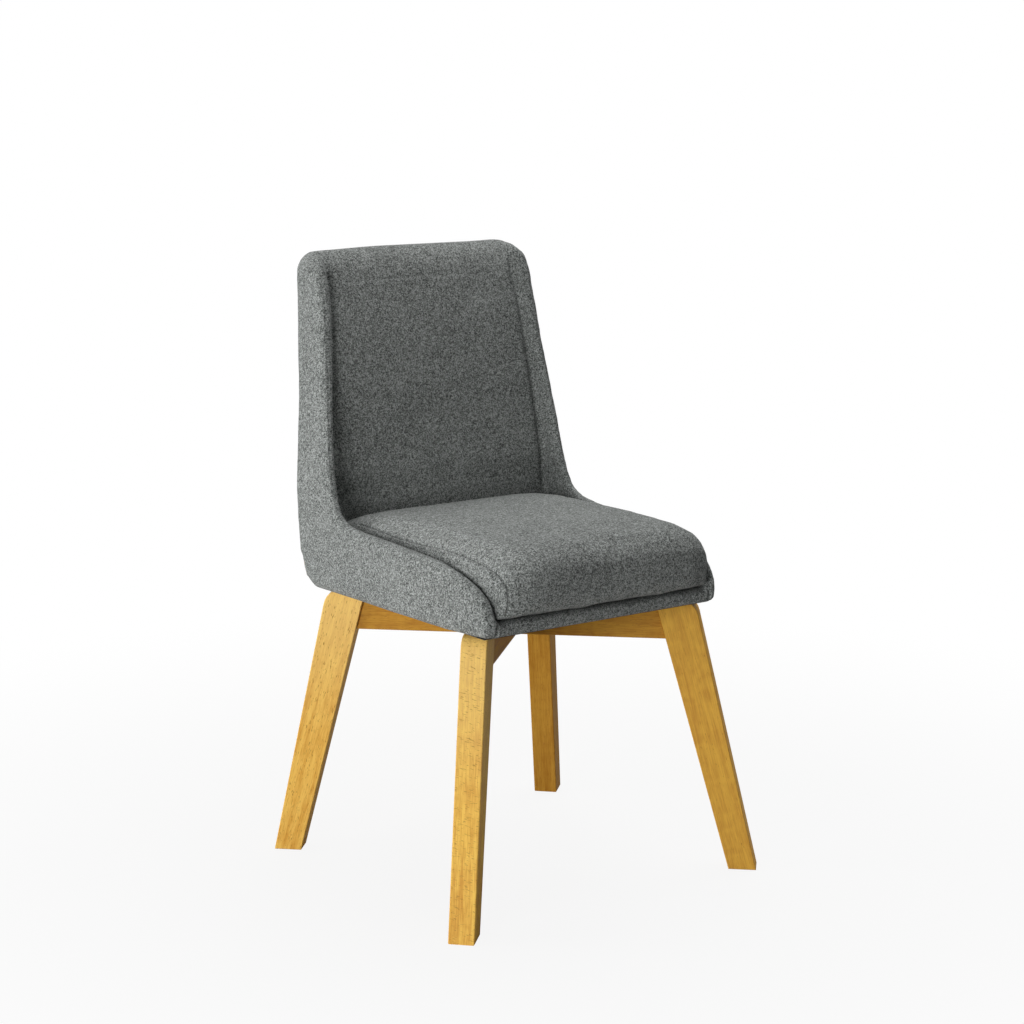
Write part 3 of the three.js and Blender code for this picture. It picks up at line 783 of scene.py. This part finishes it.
    def clear(self, nodes: Sequence[str], gap: float, reach: float = 0.004) -> None:
        """Lifts the skin off the boards behind it, where it lies too close to them.

        Args:
            nodes: The CAD nodes behind it.
            gap: The least distance that stays between them.
            reach: How far behind the skin a board is looked for.
        """
        points, normals = self.points(), self.normals()
        for board in (NODES[node] for node in nodes):
            for index, point in enumerate(points):
                found, place, facing, _ = board.closest_point_on_mesh(
                    Vector(point), distance=reach
                )
                # A board's far face looks away from the skin and doesn't count.
                if not found or facing.dot(Vector(normals[index])) < -0.3:
                    continue
                # Beside a sharp edge the facing misleads, so inside means straight behind it.
                between = Vector(point) - place
                inside = between.dot(facing) < -0.9 * between.length
                depth = -between.length if inside else between.length
                points[index] += normals[index] * max(0.0, gap - depth)
        self.put(points)

    def dress(self, material: bpy.types.Material) -> None:
        """Gives the piece one material."""
        self.thing.data.materials.clear()
        self.thing.data.materials.append(material)

    def smooth(self) -> None:
        """Shades the piece's faces smooth."""
        Piece.only(self)
        bpy.ops.object.shade_smooth()


def dress_node(node: str, material: bpy.types.Material) -> None:
    """Gives a CAD node one material."""
    Piece(NODES[node]).dress(material)


# Sub-assemblies

# Painted shade: darker, redder wood colours with no painted top light, for wood in the shade of the
# seat.
AMBER = {"pale": (0.930, 0.475, 0.060), "honey": (0.680, 0.290, 0.028), "bleach": 0.0}

# The level direction from the middle to each leg, and what sets the leg's wood apart; the shade
# factors, redder colours and missing top light of the legs under the seat are painted shade.
LEGS = {
    "front_left": (
        (-0.694, -0.720, 0.0),
        {"ray_turn": 1.30, "ray_level": 0.62, "rays": 0.62, "pale": (0.96, 0.61, 0.120)},
    ),
    "front_right": (
        (0.694, -0.720, 0.0),
        {"shade": 0.85, "bleach": 0.0, "ray_level": 0.70, "pale": (0.930, 0.530, 0.080)},
    ),
    "rear_left": ((-0.694, 0.720, 0.0), {"shade": 0.98, "pale": (0.92, 0.57, 0.120)}),
    "rear_right": ((0.694, 0.720, 0.0), {"shade": 0.55, **AMBER}),
}

# The covers and foams of both wings.
WINGS = ("wing_cover_left", "wing_cover_right", "wing_foam_left", "wing_foam_right")

# Places across the seat, and how far the padding lies to the right of them at the front.
SHIFT = (
    (-0.200, -0.184, 0.000, 0.120, 0.170, 0.184, 0.196, 0.206),
    (0.000, 0.0042, 0.0042, 0.0046, 0.0060, 0.0046, -0.0038, -0.0062),
)

# Heights, how far the heels of the wings are drawn in there, and the level direction of it.
HEEL = (
    (0.376, 0.384, 0.389, 0.394, 0.399, 0.408, 0.418, 0.426),
    (0.0028, 0.0045, 0.0040, 0.0036, 0.0036, 0.0036, 0.0024, 0.0),
)
HEEL_FACING = (0.809, 0.588)


def set_right(points: np.ndarray) -> None:
    """Sets the padding at the front of the seat a little to the right, as on the real chair."""
    points[:, 0] += fade(points[:, 1], -0.130, -0.075) * np.interp(points[:, 0], *SHIFT)


@dataclass
class CrossedBase:
    """Two beech rails crossed under the seat and the four splayed legs on their ends."""

    lean: float = math.radians(14.5)

    def build(self) -> None:
        """Gives every part of the base its finish."""
        steel = Steel().material()
        for place in LEGS:
            self.leg(place)
            for part in ("base_bolt", "base_washer", "tee_nut"):
                dress_node(f"{part}_{place}", steel)
        self.rail("cross_rail_lower", LEGS["front_left"][0])
        self.rail("cross_rail_upper", LEGS["front_right"][0])
        LOG.info("crossed base: 4 legs, 2 rails, 8 dowels, 4 bolts")

    def leg(self, place: str) -> None:
        """Finishes a leg and its dowels.

        Args:
            place: The leg's place in its name.
        """
        outward, look = LEGS[place]
        out = Vector(outward).normalized()
        along = out * math.sin(self.lean) + Vector((0.0, 0.0, -math.cos(self.lean)))
        flat = (-out.y, out.x, 0.0)
        leg = Wood(f"beech_{place}", tuple(along), flat, **look)
        dress_node(f"leg_{place}", leg.material())
        dowel = Wood(f"dowel_beech_{place}", tuple(out), flat, rays=0.3).material()
        for height in ("lower", "upper"):
            dress_node(f"dowel_{place}_{height}", dowel)

    @staticmethod
    def rail(node: str, outward: Point) -> None:
        """Finishes a rail.

        Args:
            node: The rail's CAD node.
            outward: A level direction along the rail.
        """
        along = tuple(Vector(outward).normalized())
        # Painted shade: the rails lie in the shadow under the seat, so their wood is darkened and
        # redder.
        wood = Wood(f"{node}_beech", along, (0.0, 0.0, 1.0), shade=0.62, **AMBER)
        dress_node(node, wood.material())


@dataclass
class InnerFrame:
    """The plywood cheeks and seat board, back rails, back board, screws and straps."""

    rails: Sequence[str] = ("back_top_rail", "back_lower_rail", "seat_rear_rail")
    straps: Sequence[str] = ("left", "middle", "right")
    screws: Sequence[str] = ("top_rail", "lower_rail", "rear_rail", "board_front", "board_rear")
    slack: float = 0.0006

    def build(self) -> None:
        """Gives the frame inside the cover its finishes and makes the straps."""
        cheek = Layered("cheek_plywood", (1.0, 0.0, 0.0)).material()
        board = Layered("seat_plywood", (0.0, 0.0, 1.0)).material()
        rail = Wood(
            "sawn_rail_wood",
            (1.0, 0.0, 0.0),
            (0.0, 0.0, 1.0),
            pale=(0.66, 0.50, 0.30),
            honey=(0.52, 0.36, 0.19),
            rays=0.2,
            roughness=0.7,
        ).material()
        steel = Steel("screw_steel").material()
        for side in Side:
            dress_node(f"cheek_{side.word}", cheek)
            for screw in self.screws:
                dress_node(f"screw_{screw}_{side.word}", steel)
        for node in self.rails:
            dress_node(node, rail)
        dress_node("seat_board", board)
        dress_node("back_board", Board().material())
        self.webbing()
        LOG.info("inner frame: cheeks, rails, boards, screws and 3 straps")

    def webbing(self) -> None:
        """Makes the three straps of the back, each slack by a hair between its ends."""
        finish = Webbing()
        material = finish.material()
        for strap in self.straps:
            node = f"back_webbing_{strap}"
            piece = Piece.copies(f"back_strap_{strap}", node)
            piece.edit(bpy.ops.mesh.subdivide, number_cuts=5)
            points = piece.points()
            low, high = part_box(node)
            share = (points[:, 2] - low.z) / (high.z - low.z)
            points[:, 1] += self.slack * np.sin(np.pi * np.clip(share, 0, 1)) ** 2
            piece.put(points)
            piece.dress(material)
            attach(piece.thing, BODY)
            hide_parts(node)


@dataclass
class Upholstery:
    """The covered shell: two winged sides, the back between them and the band under the seat.

    A span is for fade, and heights, places and levels are from, to and how many.
    """

    felt: Felt
    cloth: bpy.types.Material
    skin: Piece = field(init=False)
    voxel: float = 0.005
    swell_cap: float = 0.0010
    sink_cap: float = 0.0002
    slab: float = 0.004
    rear_thickness: float = 0.004
    band_rounding: float = 0.004
    crease_heights: Row = (0.485, 0.826, 24)
    crease_turn: float = 0.35
    crease_side: float = 0.14
    crease_rear: float = 0.10
    crease_reach: float = 0.012
    crease_grooves: Sequence[Groove] = (Groove(0.0085, 0.0022, 0.0), Groove(0.0030, 0.0045, 0.1))
    crease_end: Span = (0.834, -0.030)
    seam_heights: Row = (0.815, 0.50, 16)
    seam_side: float = 0.145
    seam_depth: float = 0.03
    seam_lean: tuple[float, float] = (0.95, 0.30)
    seam_reach: float = 0.003
    seam: Groove = Groove(0.0010, 0.0008, 0.3)
    fold: Groove = Groove(0.0018, 0.0026, 0.3)
    fold_reach: float = 0.006
    fold_places: Sequence[Point] = (
        (0.1755, -0.2170, 0.3790),
        (0.1750, -0.2200, 0.3860),
        (0.1745, -0.2200, 0.3930),
        (0.1735, -0.2140, 0.3975),
    )
    padding: float = 0.0055
    padding_foot: Span = (0.50, 0.04)
    padding_head: Span = (0.842, -0.14)
    padding_side: Span = (0.005, -0.007)
    padding_depth: Span = (0.020, -0.008)
    crest_roll: tuple[float, float] = (0.046, 0.030)
    crest_front: float = 0.2028
    crest_lean: float = 0.19
    crest_ends: Span = (0.168, -0.016)
    crest_places: Row = (-0.18, 0.18, 37)
    crest_strip: float = 0.006
    crest_level: Span = (0.74, 0.10)
    crest_left: Span = (-0.04, -0.14)
    crest_right: Span = (0.10, 0.08)
    crest_lift: float = 0.0012
    crest_sink: float = 0.0034
    heel_depth: float = 0.013
    heel_rear: float = 0.15
    heel_top: float = 0.45
    heel_levels: Row = (0.376, 0.440, 17)
    heel_strip: float = 0.003
    board_gap: float = 0.0006
    skins: Sequence[str] = (
        *WINGS,
        "cheek_left",
        "cheek_right",
        "inner_back_cover",
        "back_foam",
        "back_board",
        "back_lower_rail",
        "seat_rear_rail",
        "front_band",
    )
    stood_for: Sequence[str] = (
        *WINGS,
        "inner_back_cover",
        "outer_back_cover",
        "back_foam",
        "front_band",
    )

    def build(self) -> None:
        """Makes the skin and dresses it."""
        self.form()
        self.swell()
        self.skin.soften()
        self.crease_back()
        for side in Side:
            self.sew_nose(side)
        for step in (self.round_crest, self.settle_crest, self.round_heels, set_right):
            self.skin.shift(step)
        self.skin.clear(["cheek_left", "cheek_right", "seat_rear_rail"], self.board_gap)
        self.skin.smooth()
        self.skin.dress(self.cloth)
        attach(self.skin.thing, BODY)
        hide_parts(*self.stood_for)
        LOG.info("shell cover: %d faces", len(self.skin.thing.data.polygons))

    def form(self) -> None:
        """Joins the shell's solids into one closed skin."""
        rear = self.thick_rear()
        self.skin = Piece.copies("shell_cover", *self.skins)
        Piece.join(self.skin, rear, self.band_core())
        self.skin.remesh(self.voxel)

    def band_core(self) -> Piece:
        """Fills the fold of the front band, so that remeshing keeps it."""
        low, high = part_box("front_band")
        bpy.ops.object.select_all(action="DESELECT")
        bpy.ops.mesh.primitive_cube_add(size=1.0, location=(low + high) / 2)
        core = Piece(bpy.context.object)
        core.thing.scale = high - low - Vector((0.0, 0.002, 0.002))
        bpy.ops.object.transform_apply(location=True, rotation=True, scale=True)
        core.apply("BEVEL", width=self.band_rounding, segments=3)
        return core

    def thick_rear(self) -> Piece:
        """Copies the outer back cover and thickens it inwards, so that remeshing keeps it."""
        rear = Piece.copies("rear_skin", "outer_back_cover")
        inner = Vector((0.0, -0.8, 0.6))
        faces = [face for face in rear.thing.data.polygons if face.normal.dot(inner) > 0.25]
        chosen = sorted({vertex for face in faces for vertex in face.vertices})
        points = rear.points()
        points[chosen] += rear.normals()[chosen] * self.rear_thickness
        rear.put(points)
        return rear

    def swell(self) -> None:
        """Lets the skin swell as cloth over foam, which hardly sinks towards the boards."""
        normals = self.skin.normals()

        def cap(points: np.ndarray, moves: np.ndarray) -> np.ndarray:
            """Keeps the outward part of each move, between the two caps and evened out."""
            out = np.clip((moves * normals).sum(axis=1), -self.sink_cap, self.swell_cap)
            return normals * self.skin.even(out, 10)[:, None]

        self.skin.swell(cap)

    def crease_back(self) -> None:
        """Plumps the padding of the back and draws the creases on both of its sides."""
        creases = [self.crease(side) for side in Side]
        self.skin.shift(lambda points: self.fill_back(points, creases[1]))
        for line in creases:
            line[:, 1] -= self.forward(line[:, 2])
            self.skin.refine(line, self.crease_reach)
        self.skin.apply("SUBSURF", levels=1, render_levels=1)
        for line in creases:
            share = fade(line[:, 2], *self.crease_end)
            for groove in self.crease_grooves:
                self.skin.groove(line, groove, share)

    def sew_nose(self, side: Side) -> None:
        """Draws the seam down the front roll of a wing and the fold at its nose.

        Args:
            side: The wing's side.
        """
        seam = self.nose_seam(side)
        self.skin.refine(seam, self.seam_reach)
        self.skin.groove(seam, self.seam)
        fold = self.skin.onto(curve(np.array(self.fold_places) * side.mirror))
        self.skin.refine(fold, self.fold_reach)
        self.skin.groove(fold, self.fold)

    def crease(self, side: Side) -> np.ndarray:
        """Finds the crease between a wing and the back.

        Args:
            side: The wing's side.

        Returns:
            Points along the crease, from the seat up to the crest.
        """
        points, normals = self.skin.points() * side.mirror, self.skin.normals() * side.mirror
        facing = normals[:, 0] < -self.crease_turn
        facing &= (points[:, 0] > self.crease_side) & (points[:, 1] > self.crease_rear)
        knots = []
        for height in np.linspace(*self.crease_heights):
            near = points[facing & (abs(points[:, 2] - height) < self.slab)]
            best = near[np.argmax(near[:, 1])]
            knots.append((best[0], best[1], height))
        return self.fair(knots, side)

    def nose_seam(self, side: Side) -> np.ndarray:
        """Finds the cover's seam, which runs down the front roll of a wing.

        Args:
            side: The wing's side.

        Returns:
            Points along the seam, from the crest down to the nose.
        """
        points = self.skin.points() * side.mirror
        points = points[points[:, 0] > self.seam_side]
        forward, outward = self.seam_lean
        knots = []
        for height in np.linspace(*self.seam_heights):
            near = points[abs(points[:, 2] - height) < self.slab]
            front = near[near[:, 1] < near[:, 1].min() + self.seam_depth]
            knots.append(front[np.argmin(front[:, 1] * forward - front[:, 0] * outward)])
        return self.fair(knots, side)

    def fair(self, knots: Sequence[Sequence[float]], side: Side) -> np.ndarray:
        """Evens out a line that runs up or down a wing and lays it onto the skin.

        Args:
            knots: Places of the line, taken to the right side.
            side: The wing's side.

        Returns:
            Points along the line.
        """
        knots = np.array(knots)
        for axis in (0, 1):
            knots[:, axis] = np.polyval(np.polyfit(knots[:, 2], knots[:, axis], 4), knots[:, 2])
        return self.skin.onto(curve(knots * side.mirror))

    def forward(self, height: np.ndarray) -> np.ndarray:
        """How far the padding of the back comes forward at each height."""
        foot, head = fade(height, *self.padding_foot), fade(height, *self.padding_head)
        return self.padding * foot * head

    def fill_back(self, points: np.ndarray, crease: np.ndarray) -> None:
        """Plumps the padding of the back between the two creases.

        Args:
            points: The skin's points, which are moved.
            crease: The crease on one side.
        """
        order = np.argsort(crease[:, 2])
        edge = np.interp(points[:, 2], crease[order, 2], abs(crease[order, 0]))
        depth = np.interp(points[:, 2], crease[order, 2], crease[order, 1])
        beyond, span = self.padding_side
        between = fade(abs(points[:, 0]), edge + beyond, span)
        behind, span = self.padding_depth
        front = fade(points[:, 1], depth + behind, span)
        points[:, 1] -= self.forward(points[:, 2]) * between * front

    def round_crest(self, points: np.ndarray) -> None:
        """Rolls the back over into the crest, along a leaning ellipse."""
        places = np.linspace(*self.crest_places)
        strips = [abs(points[:, 0] - place) < self.crest_strip for place in places]
        tops = [points[strip, 2].max() for strip in strips]
        tall, deep = self.crest_roll
        high = points[:, 2] - np.interp(points[:, 0], places, tops) + tall
        back = self.crest_front + deep - points[:, 1] + self.crest_lean * high
        reach = np.hypot(high / tall, back / deep)
        share = fade(abs(points[:, 0]), *self.crest_ends)
        share = np.where((high > 0.0) & (back > 0.0) & (reach > 1.0), share, 0.0)
        pull = share * (1.0 - 1.0 / np.maximum(reach, 1.0))
        points[:, 2] -= pull * high
        points[:, 1] += pull * (back - self.crest_lean * high)

    def settle_crest(self, points: np.ndarray) -> None:
        """Sinks the crest's left corner a little and lifts the right, as on the real chair."""
        high = fade(points[:, 2], *self.crest_level)
        left = fade(points[:, 0], *self.crest_left)
        right = fade(points[:, 0], *self.crest_right)
        points[:, 2] += high * (self.crest_lift * right - self.crest_sink * left)

    def round_heels(self, points: np.ndarray) -> None:
        """Draws in the lower rear corners of the wings, which are soft on the real chair."""
        rear = (points[:, 1] > self.heel_rear) & (points[:, 2] < self.heel_top)
        across, back = HEEL_FACING
        reach = np.where(rear, across * abs(points[:, 0]) + back * points[:, 1], 0.0)
        levels = np.linspace(*self.heel_levels)
        strips = [abs(points[:, 2] - level) < self.heel_strip for level in levels]
        outer = [reach[strip].max() for strip in strips]
        inward = reach - np.interp(points[:, 2], levels, outer)
        near = fade(inward, -self.heel_depth, self.heel_depth)
        cut = np.interp(points[:, 2], *HEEL) * near * rear
        points[:, 0] -= cut * across * np.sign(points[:, 0])
        points[:, 1] -= cut * back


@dataclass
class SeatCushion:
    """The crowned loose cushion between the wings, with its side seams.

    A ripple wave has a share, a rate in radians a metre and a start in radians.
    """

    felt: Felt
    cloth: bpy.types.Material
    voxel: float = 0.004
    swell_cap: float = 0.0024
    side_cap: float = 0.0004
    seam: Groove = Groove(0.0014, 0.0012, 0.4)
    stitch: float = 0.011
    pucker: float = 0.25
    thread_radius: float = 0.00035
    seam_reaches: Sequence[float] = (0.008, 0.005)
    ripple_foot: float = 0.016
    ripple_front: Span = (-0.195, -0.02)
    ripple_waves: Sequence[Wave] = ((0.5, 47.0, 0.7), (0.35, 103.0, 2.0), (0.2, 190.0, 0.0))
    ripple_lift: float = 0.0018
    ripple_height: float = 0.0022
    ripple_depth: float = 0.0010
    seam_places: Sequence[Point] = (
        (0.166, 0.1100, 0.4700),
        (0.166, 0.0849, 0.4715),
        (0.166, -0.0100, 0.4699),
        (0.166, -0.1134, 0.4724),
        (0.166, -0.1870, 0.4634),
        (0.166, -0.2170, 0.4509),
        (0.166, -0.2258, 0.4312),
        (0.166, -0.2228, 0.4058),
    )

    def build(self) -> None:
        """Makes the cushion and dresses it."""
        piece = Piece.copies("seat_cushion", "seat_cushion_cover", "seat_cushion_foam")
        piece.remesh(self.voxel)
        piece.swell(self.cap)
        piece.soften()
        piece.apply("SUBSURF", levels=1, render_levels=1)
        piece.shift(self.ripple)
        lines = [piece.onto(self.seam_line(side)) for side in Side]
        for line in lines:
            for reach in self.seam_reaches:
                piece.refine(line, reach)
        for line in lines:
            away = np.arange(len(line)) * STEP
            puckers = 1.0 + self.pucker * np.sin(away * 2 * math.pi / self.stitch)
            piece.groove(line, self.seam, puckers)
        piece.shift(set_right)
        piece.smooth()
        piece.dress(self.cloth)
        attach(piece.thing, BODY)
        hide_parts("seat_cushion_cover", "seat_cushion_foam")
        LOG.info("seat cushion: %d faces", len(piece.thing.data.polygons))
        for side in Side:
            self.thread(piece, side)

    def seam_line(self, side: Side) -> np.ndarray:
        """The seam's line on one side, before it is laid onto the cushion."""
        return curve(np.array(self.seam_places) * side.mirror)

    def thread(self, piece: Piece, side: Side) -> None:
        """Lays the seam thread into the groove, a dark tube that stands in for the seam's shadow as
        painted shade.

        Args:
            piece: The cushion.
            side: The seam's side.
        """
        line = self.seam_line(side)
        set_right(line)
        name = f"cushion_seam_{side.word}"
        thread = Piece.tube(name, piece.onto(line[::3]), self.thread_radius)
        thread.smooth()
        thread.dress(Thread().material())
        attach(thread.thing, BODY)
        LOG.info("%s: %d faces", name, len(thread.thing.data.polygons))

    def ripple(self, points: np.ndarray) -> None:
        """Waves the lower front edge, where the cover is drawn over the foam."""
        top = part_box("seat_cushion_cover")[0].z + self.ripple_foot
        edge = fade(points[:, 2], top, -self.ripple_foot) * fade(points[:, 1], *self.ripple_front)
        x = points[:, 0]
        wave = sum(share * np.sin(x * rate + start) for share, rate, start in self.ripple_waves)
        points[:, 2] += (self.ripple_lift + self.ripple_height * wave) * edge
        points[:, 1] -= self.ripple_depth * edge * (1.0 + wave)

    def cap(self, points: np.ndarray, moves: np.ndarray) -> np.ndarray:
        """Holds the sides and the underside and shortens the other moves.

        Args:
            points: The cushion's points, before the moves; not used.
            moves: The cloth's moves.

        Returns:
            The moves that are kept.
        """
        length = np.linalg.norm(moves, axis=1, keepdims=True)
        held = moves * np.minimum(1.0, self.swell_cap / np.maximum(length, 1e-9))
        held[:, 0] = np.clip(held[:, 0], -self.side_cap, self.side_cap)
        held[:, 2] = np.maximum(held[:, 2], 0.0)
        return held


@dataclass
class DustCover:
    """The black cloth under the seat."""

    node: str = "dust_cover"
    cuts: int = 6
    unevenness: float = 0.00012
    wave_rates: tuple[float, float] = (190.0, 170.0)

    def build(self) -> None:
        """Makes the cloth and dresses it."""
        finish = DustCloth()
        piece = Piece.copies("dust_cloth", self.node)
        piece.edit(bpy.ops.mesh.subdivide, number_cuts=self.cuts)
        points = piece.points()
        waves = [np.sin(points[:, axis] * rate) for axis, rate in enumerate(self.wave_rates)]
        points[:, 2] += self.unevenness * waves[0] * waves[1]
        piece.put(points)
        piece.dress(finish.material())
        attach(piece.thing, BODY)
        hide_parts(self.node)
        low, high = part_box(self.node)
        LOG.info("dust cloth: %d faces", len(piece.thing.data.polygons))


# The room


@dataclass
class Studio:
    """The white room, its soft lamps and the camera."""

    eye: Point = (-1.8013, -2.4899, 1.0752)
    target: Point = (0.0, -0.0116, 0.4920)
    lit: Point = (0.0, 0.0, 0.5)
    lens: float = 80.34
    fill: float = 0.053
    lamps: Sequence[tuple[str, Point, float, float]] = (
        ("front_window", (-3.0, -1.5, 0.7), 1.5, 61.0),
        ("rear_window", (-2.7, 1.4, 0.6), 1.5, 60.0),
        ("ceiling", (0.8, 0.5, 3.1), 2.4, 80.0),
    )

    def build(self) -> None:
        """Makes the room, with lamps of these names, places, sizes and powers in watts."""
        self.floor()
        self.world()
        for name, place, size, power in self.lamps:
            data = bpy.data.lights.new(name, "AREA")
            data.size = size
            data.energy = power
            self.mount(name, data, place, self.lit)
        self.camera()

    @staticmethod
    def mount(name: str, data: bpy.types.ID, place: Point, target: Point) -> bpy.types.Object:
        """Puts up a lamp or camera that faces a target.

        Args:
            name: Its name.
            data: The lamp's or camera's data.
            place: Where it stands.
            target: The point that it faces.

        Returns:
            The lamp or camera.
        """
        made = add_object(name, data)
        made.location = place
        aim = Vector(target) - Vector(place)
        made.rotation_euler = aim.to_track_quat("-Z", "Y").to_euler()
        return made

    def floor(self) -> None:
        """Lays the white floor, which keeps a faint shadow near the chair."""
        bpy.ops.object.select_all(action="DESELECT")
        bpy.ops.mesh.primitive_circle_add(vertices=96, radius=20.0, fill_type="NGON")
        floor = bpy.context.object
        floor.name = "floor"
        palette = Palette("white_floor")
        sockets = {0: palette.place()}
        reach = palette.node("ShaderNodeVectorMath", {"operation": "LENGTH"}, sockets, "Value")
        seen = palette.node("ShaderNodeLightPath", output="Is Camera Ray")
        share = seen * (reach.ramp(0.3, 1.6) * 0.10 + 0.90)
        grey = palette.node("ShaderNodeBsdfDiffuse", sockets={"Color": (0.45, 0.45, 0.45, 1.0)})
        white = palette.node("ShaderNodeEmission", sockets={"Strength": 1.0})
        both = palette.node("ShaderNodeMixShader", sockets={0: share, 1: grey, 2: white})
        palette.node("ShaderNodeOutputMaterial", sockets={"Surface": both})
        Piece(floor).dress(palette.material)

    def world(self) -> None:
        """Fills the room with even light, white to the camera and in reflections."""
        world = bpy.data.worlds.new("white_room")
        bpy.context.scene.world = world
        nodes = Nodes(world)
        kinds = ("Is Camera Ray", "Is Glossy Ray", "Is Transmission Ray")
        seen, glossy, clear = (nodes.node("ShaderNodeLightPath", output=kind) for kind in kinds)
        white = seen.math("MAXIMUM", glossy).math("MAXIMUM", clear)
        sockets = {"Color": (1.0, 1.0, 1.0, 1.0), "Strength": white * (1.0 - self.fill) + self.fill}
        sky = nodes.node("ShaderNodeBackground", sockets=sockets)
        nodes.node("ShaderNodeOutputWorld", sockets={"Surface": sky})

    def camera(self) -> None:
        """Places the camera at the photograph's view."""
        data = bpy.data.cameras.new("camera")
        data.lens = self.lens
        data.sensor_width = 36.0
        bpy.context.scene.camera = self.mount("camera", data, self.eye, self.target)


def main() -> None:
    """Builds the chair and its room."""
    logging.basicConfig(level=logging.INFO, format="%(name)s: %(message)s")
    bpy.context.scene.view_settings.view_transform = "Standard"
    Studio().build()
    felt = Felt()
    cloth = felt.material()
    CrossedBase().build()
    InnerFrame().build()
    Upholstery(felt, cloth).build()
    SeatCushion(felt, cloth).build()
    DustCover().build()


if __name__ == "__main__":
    main()
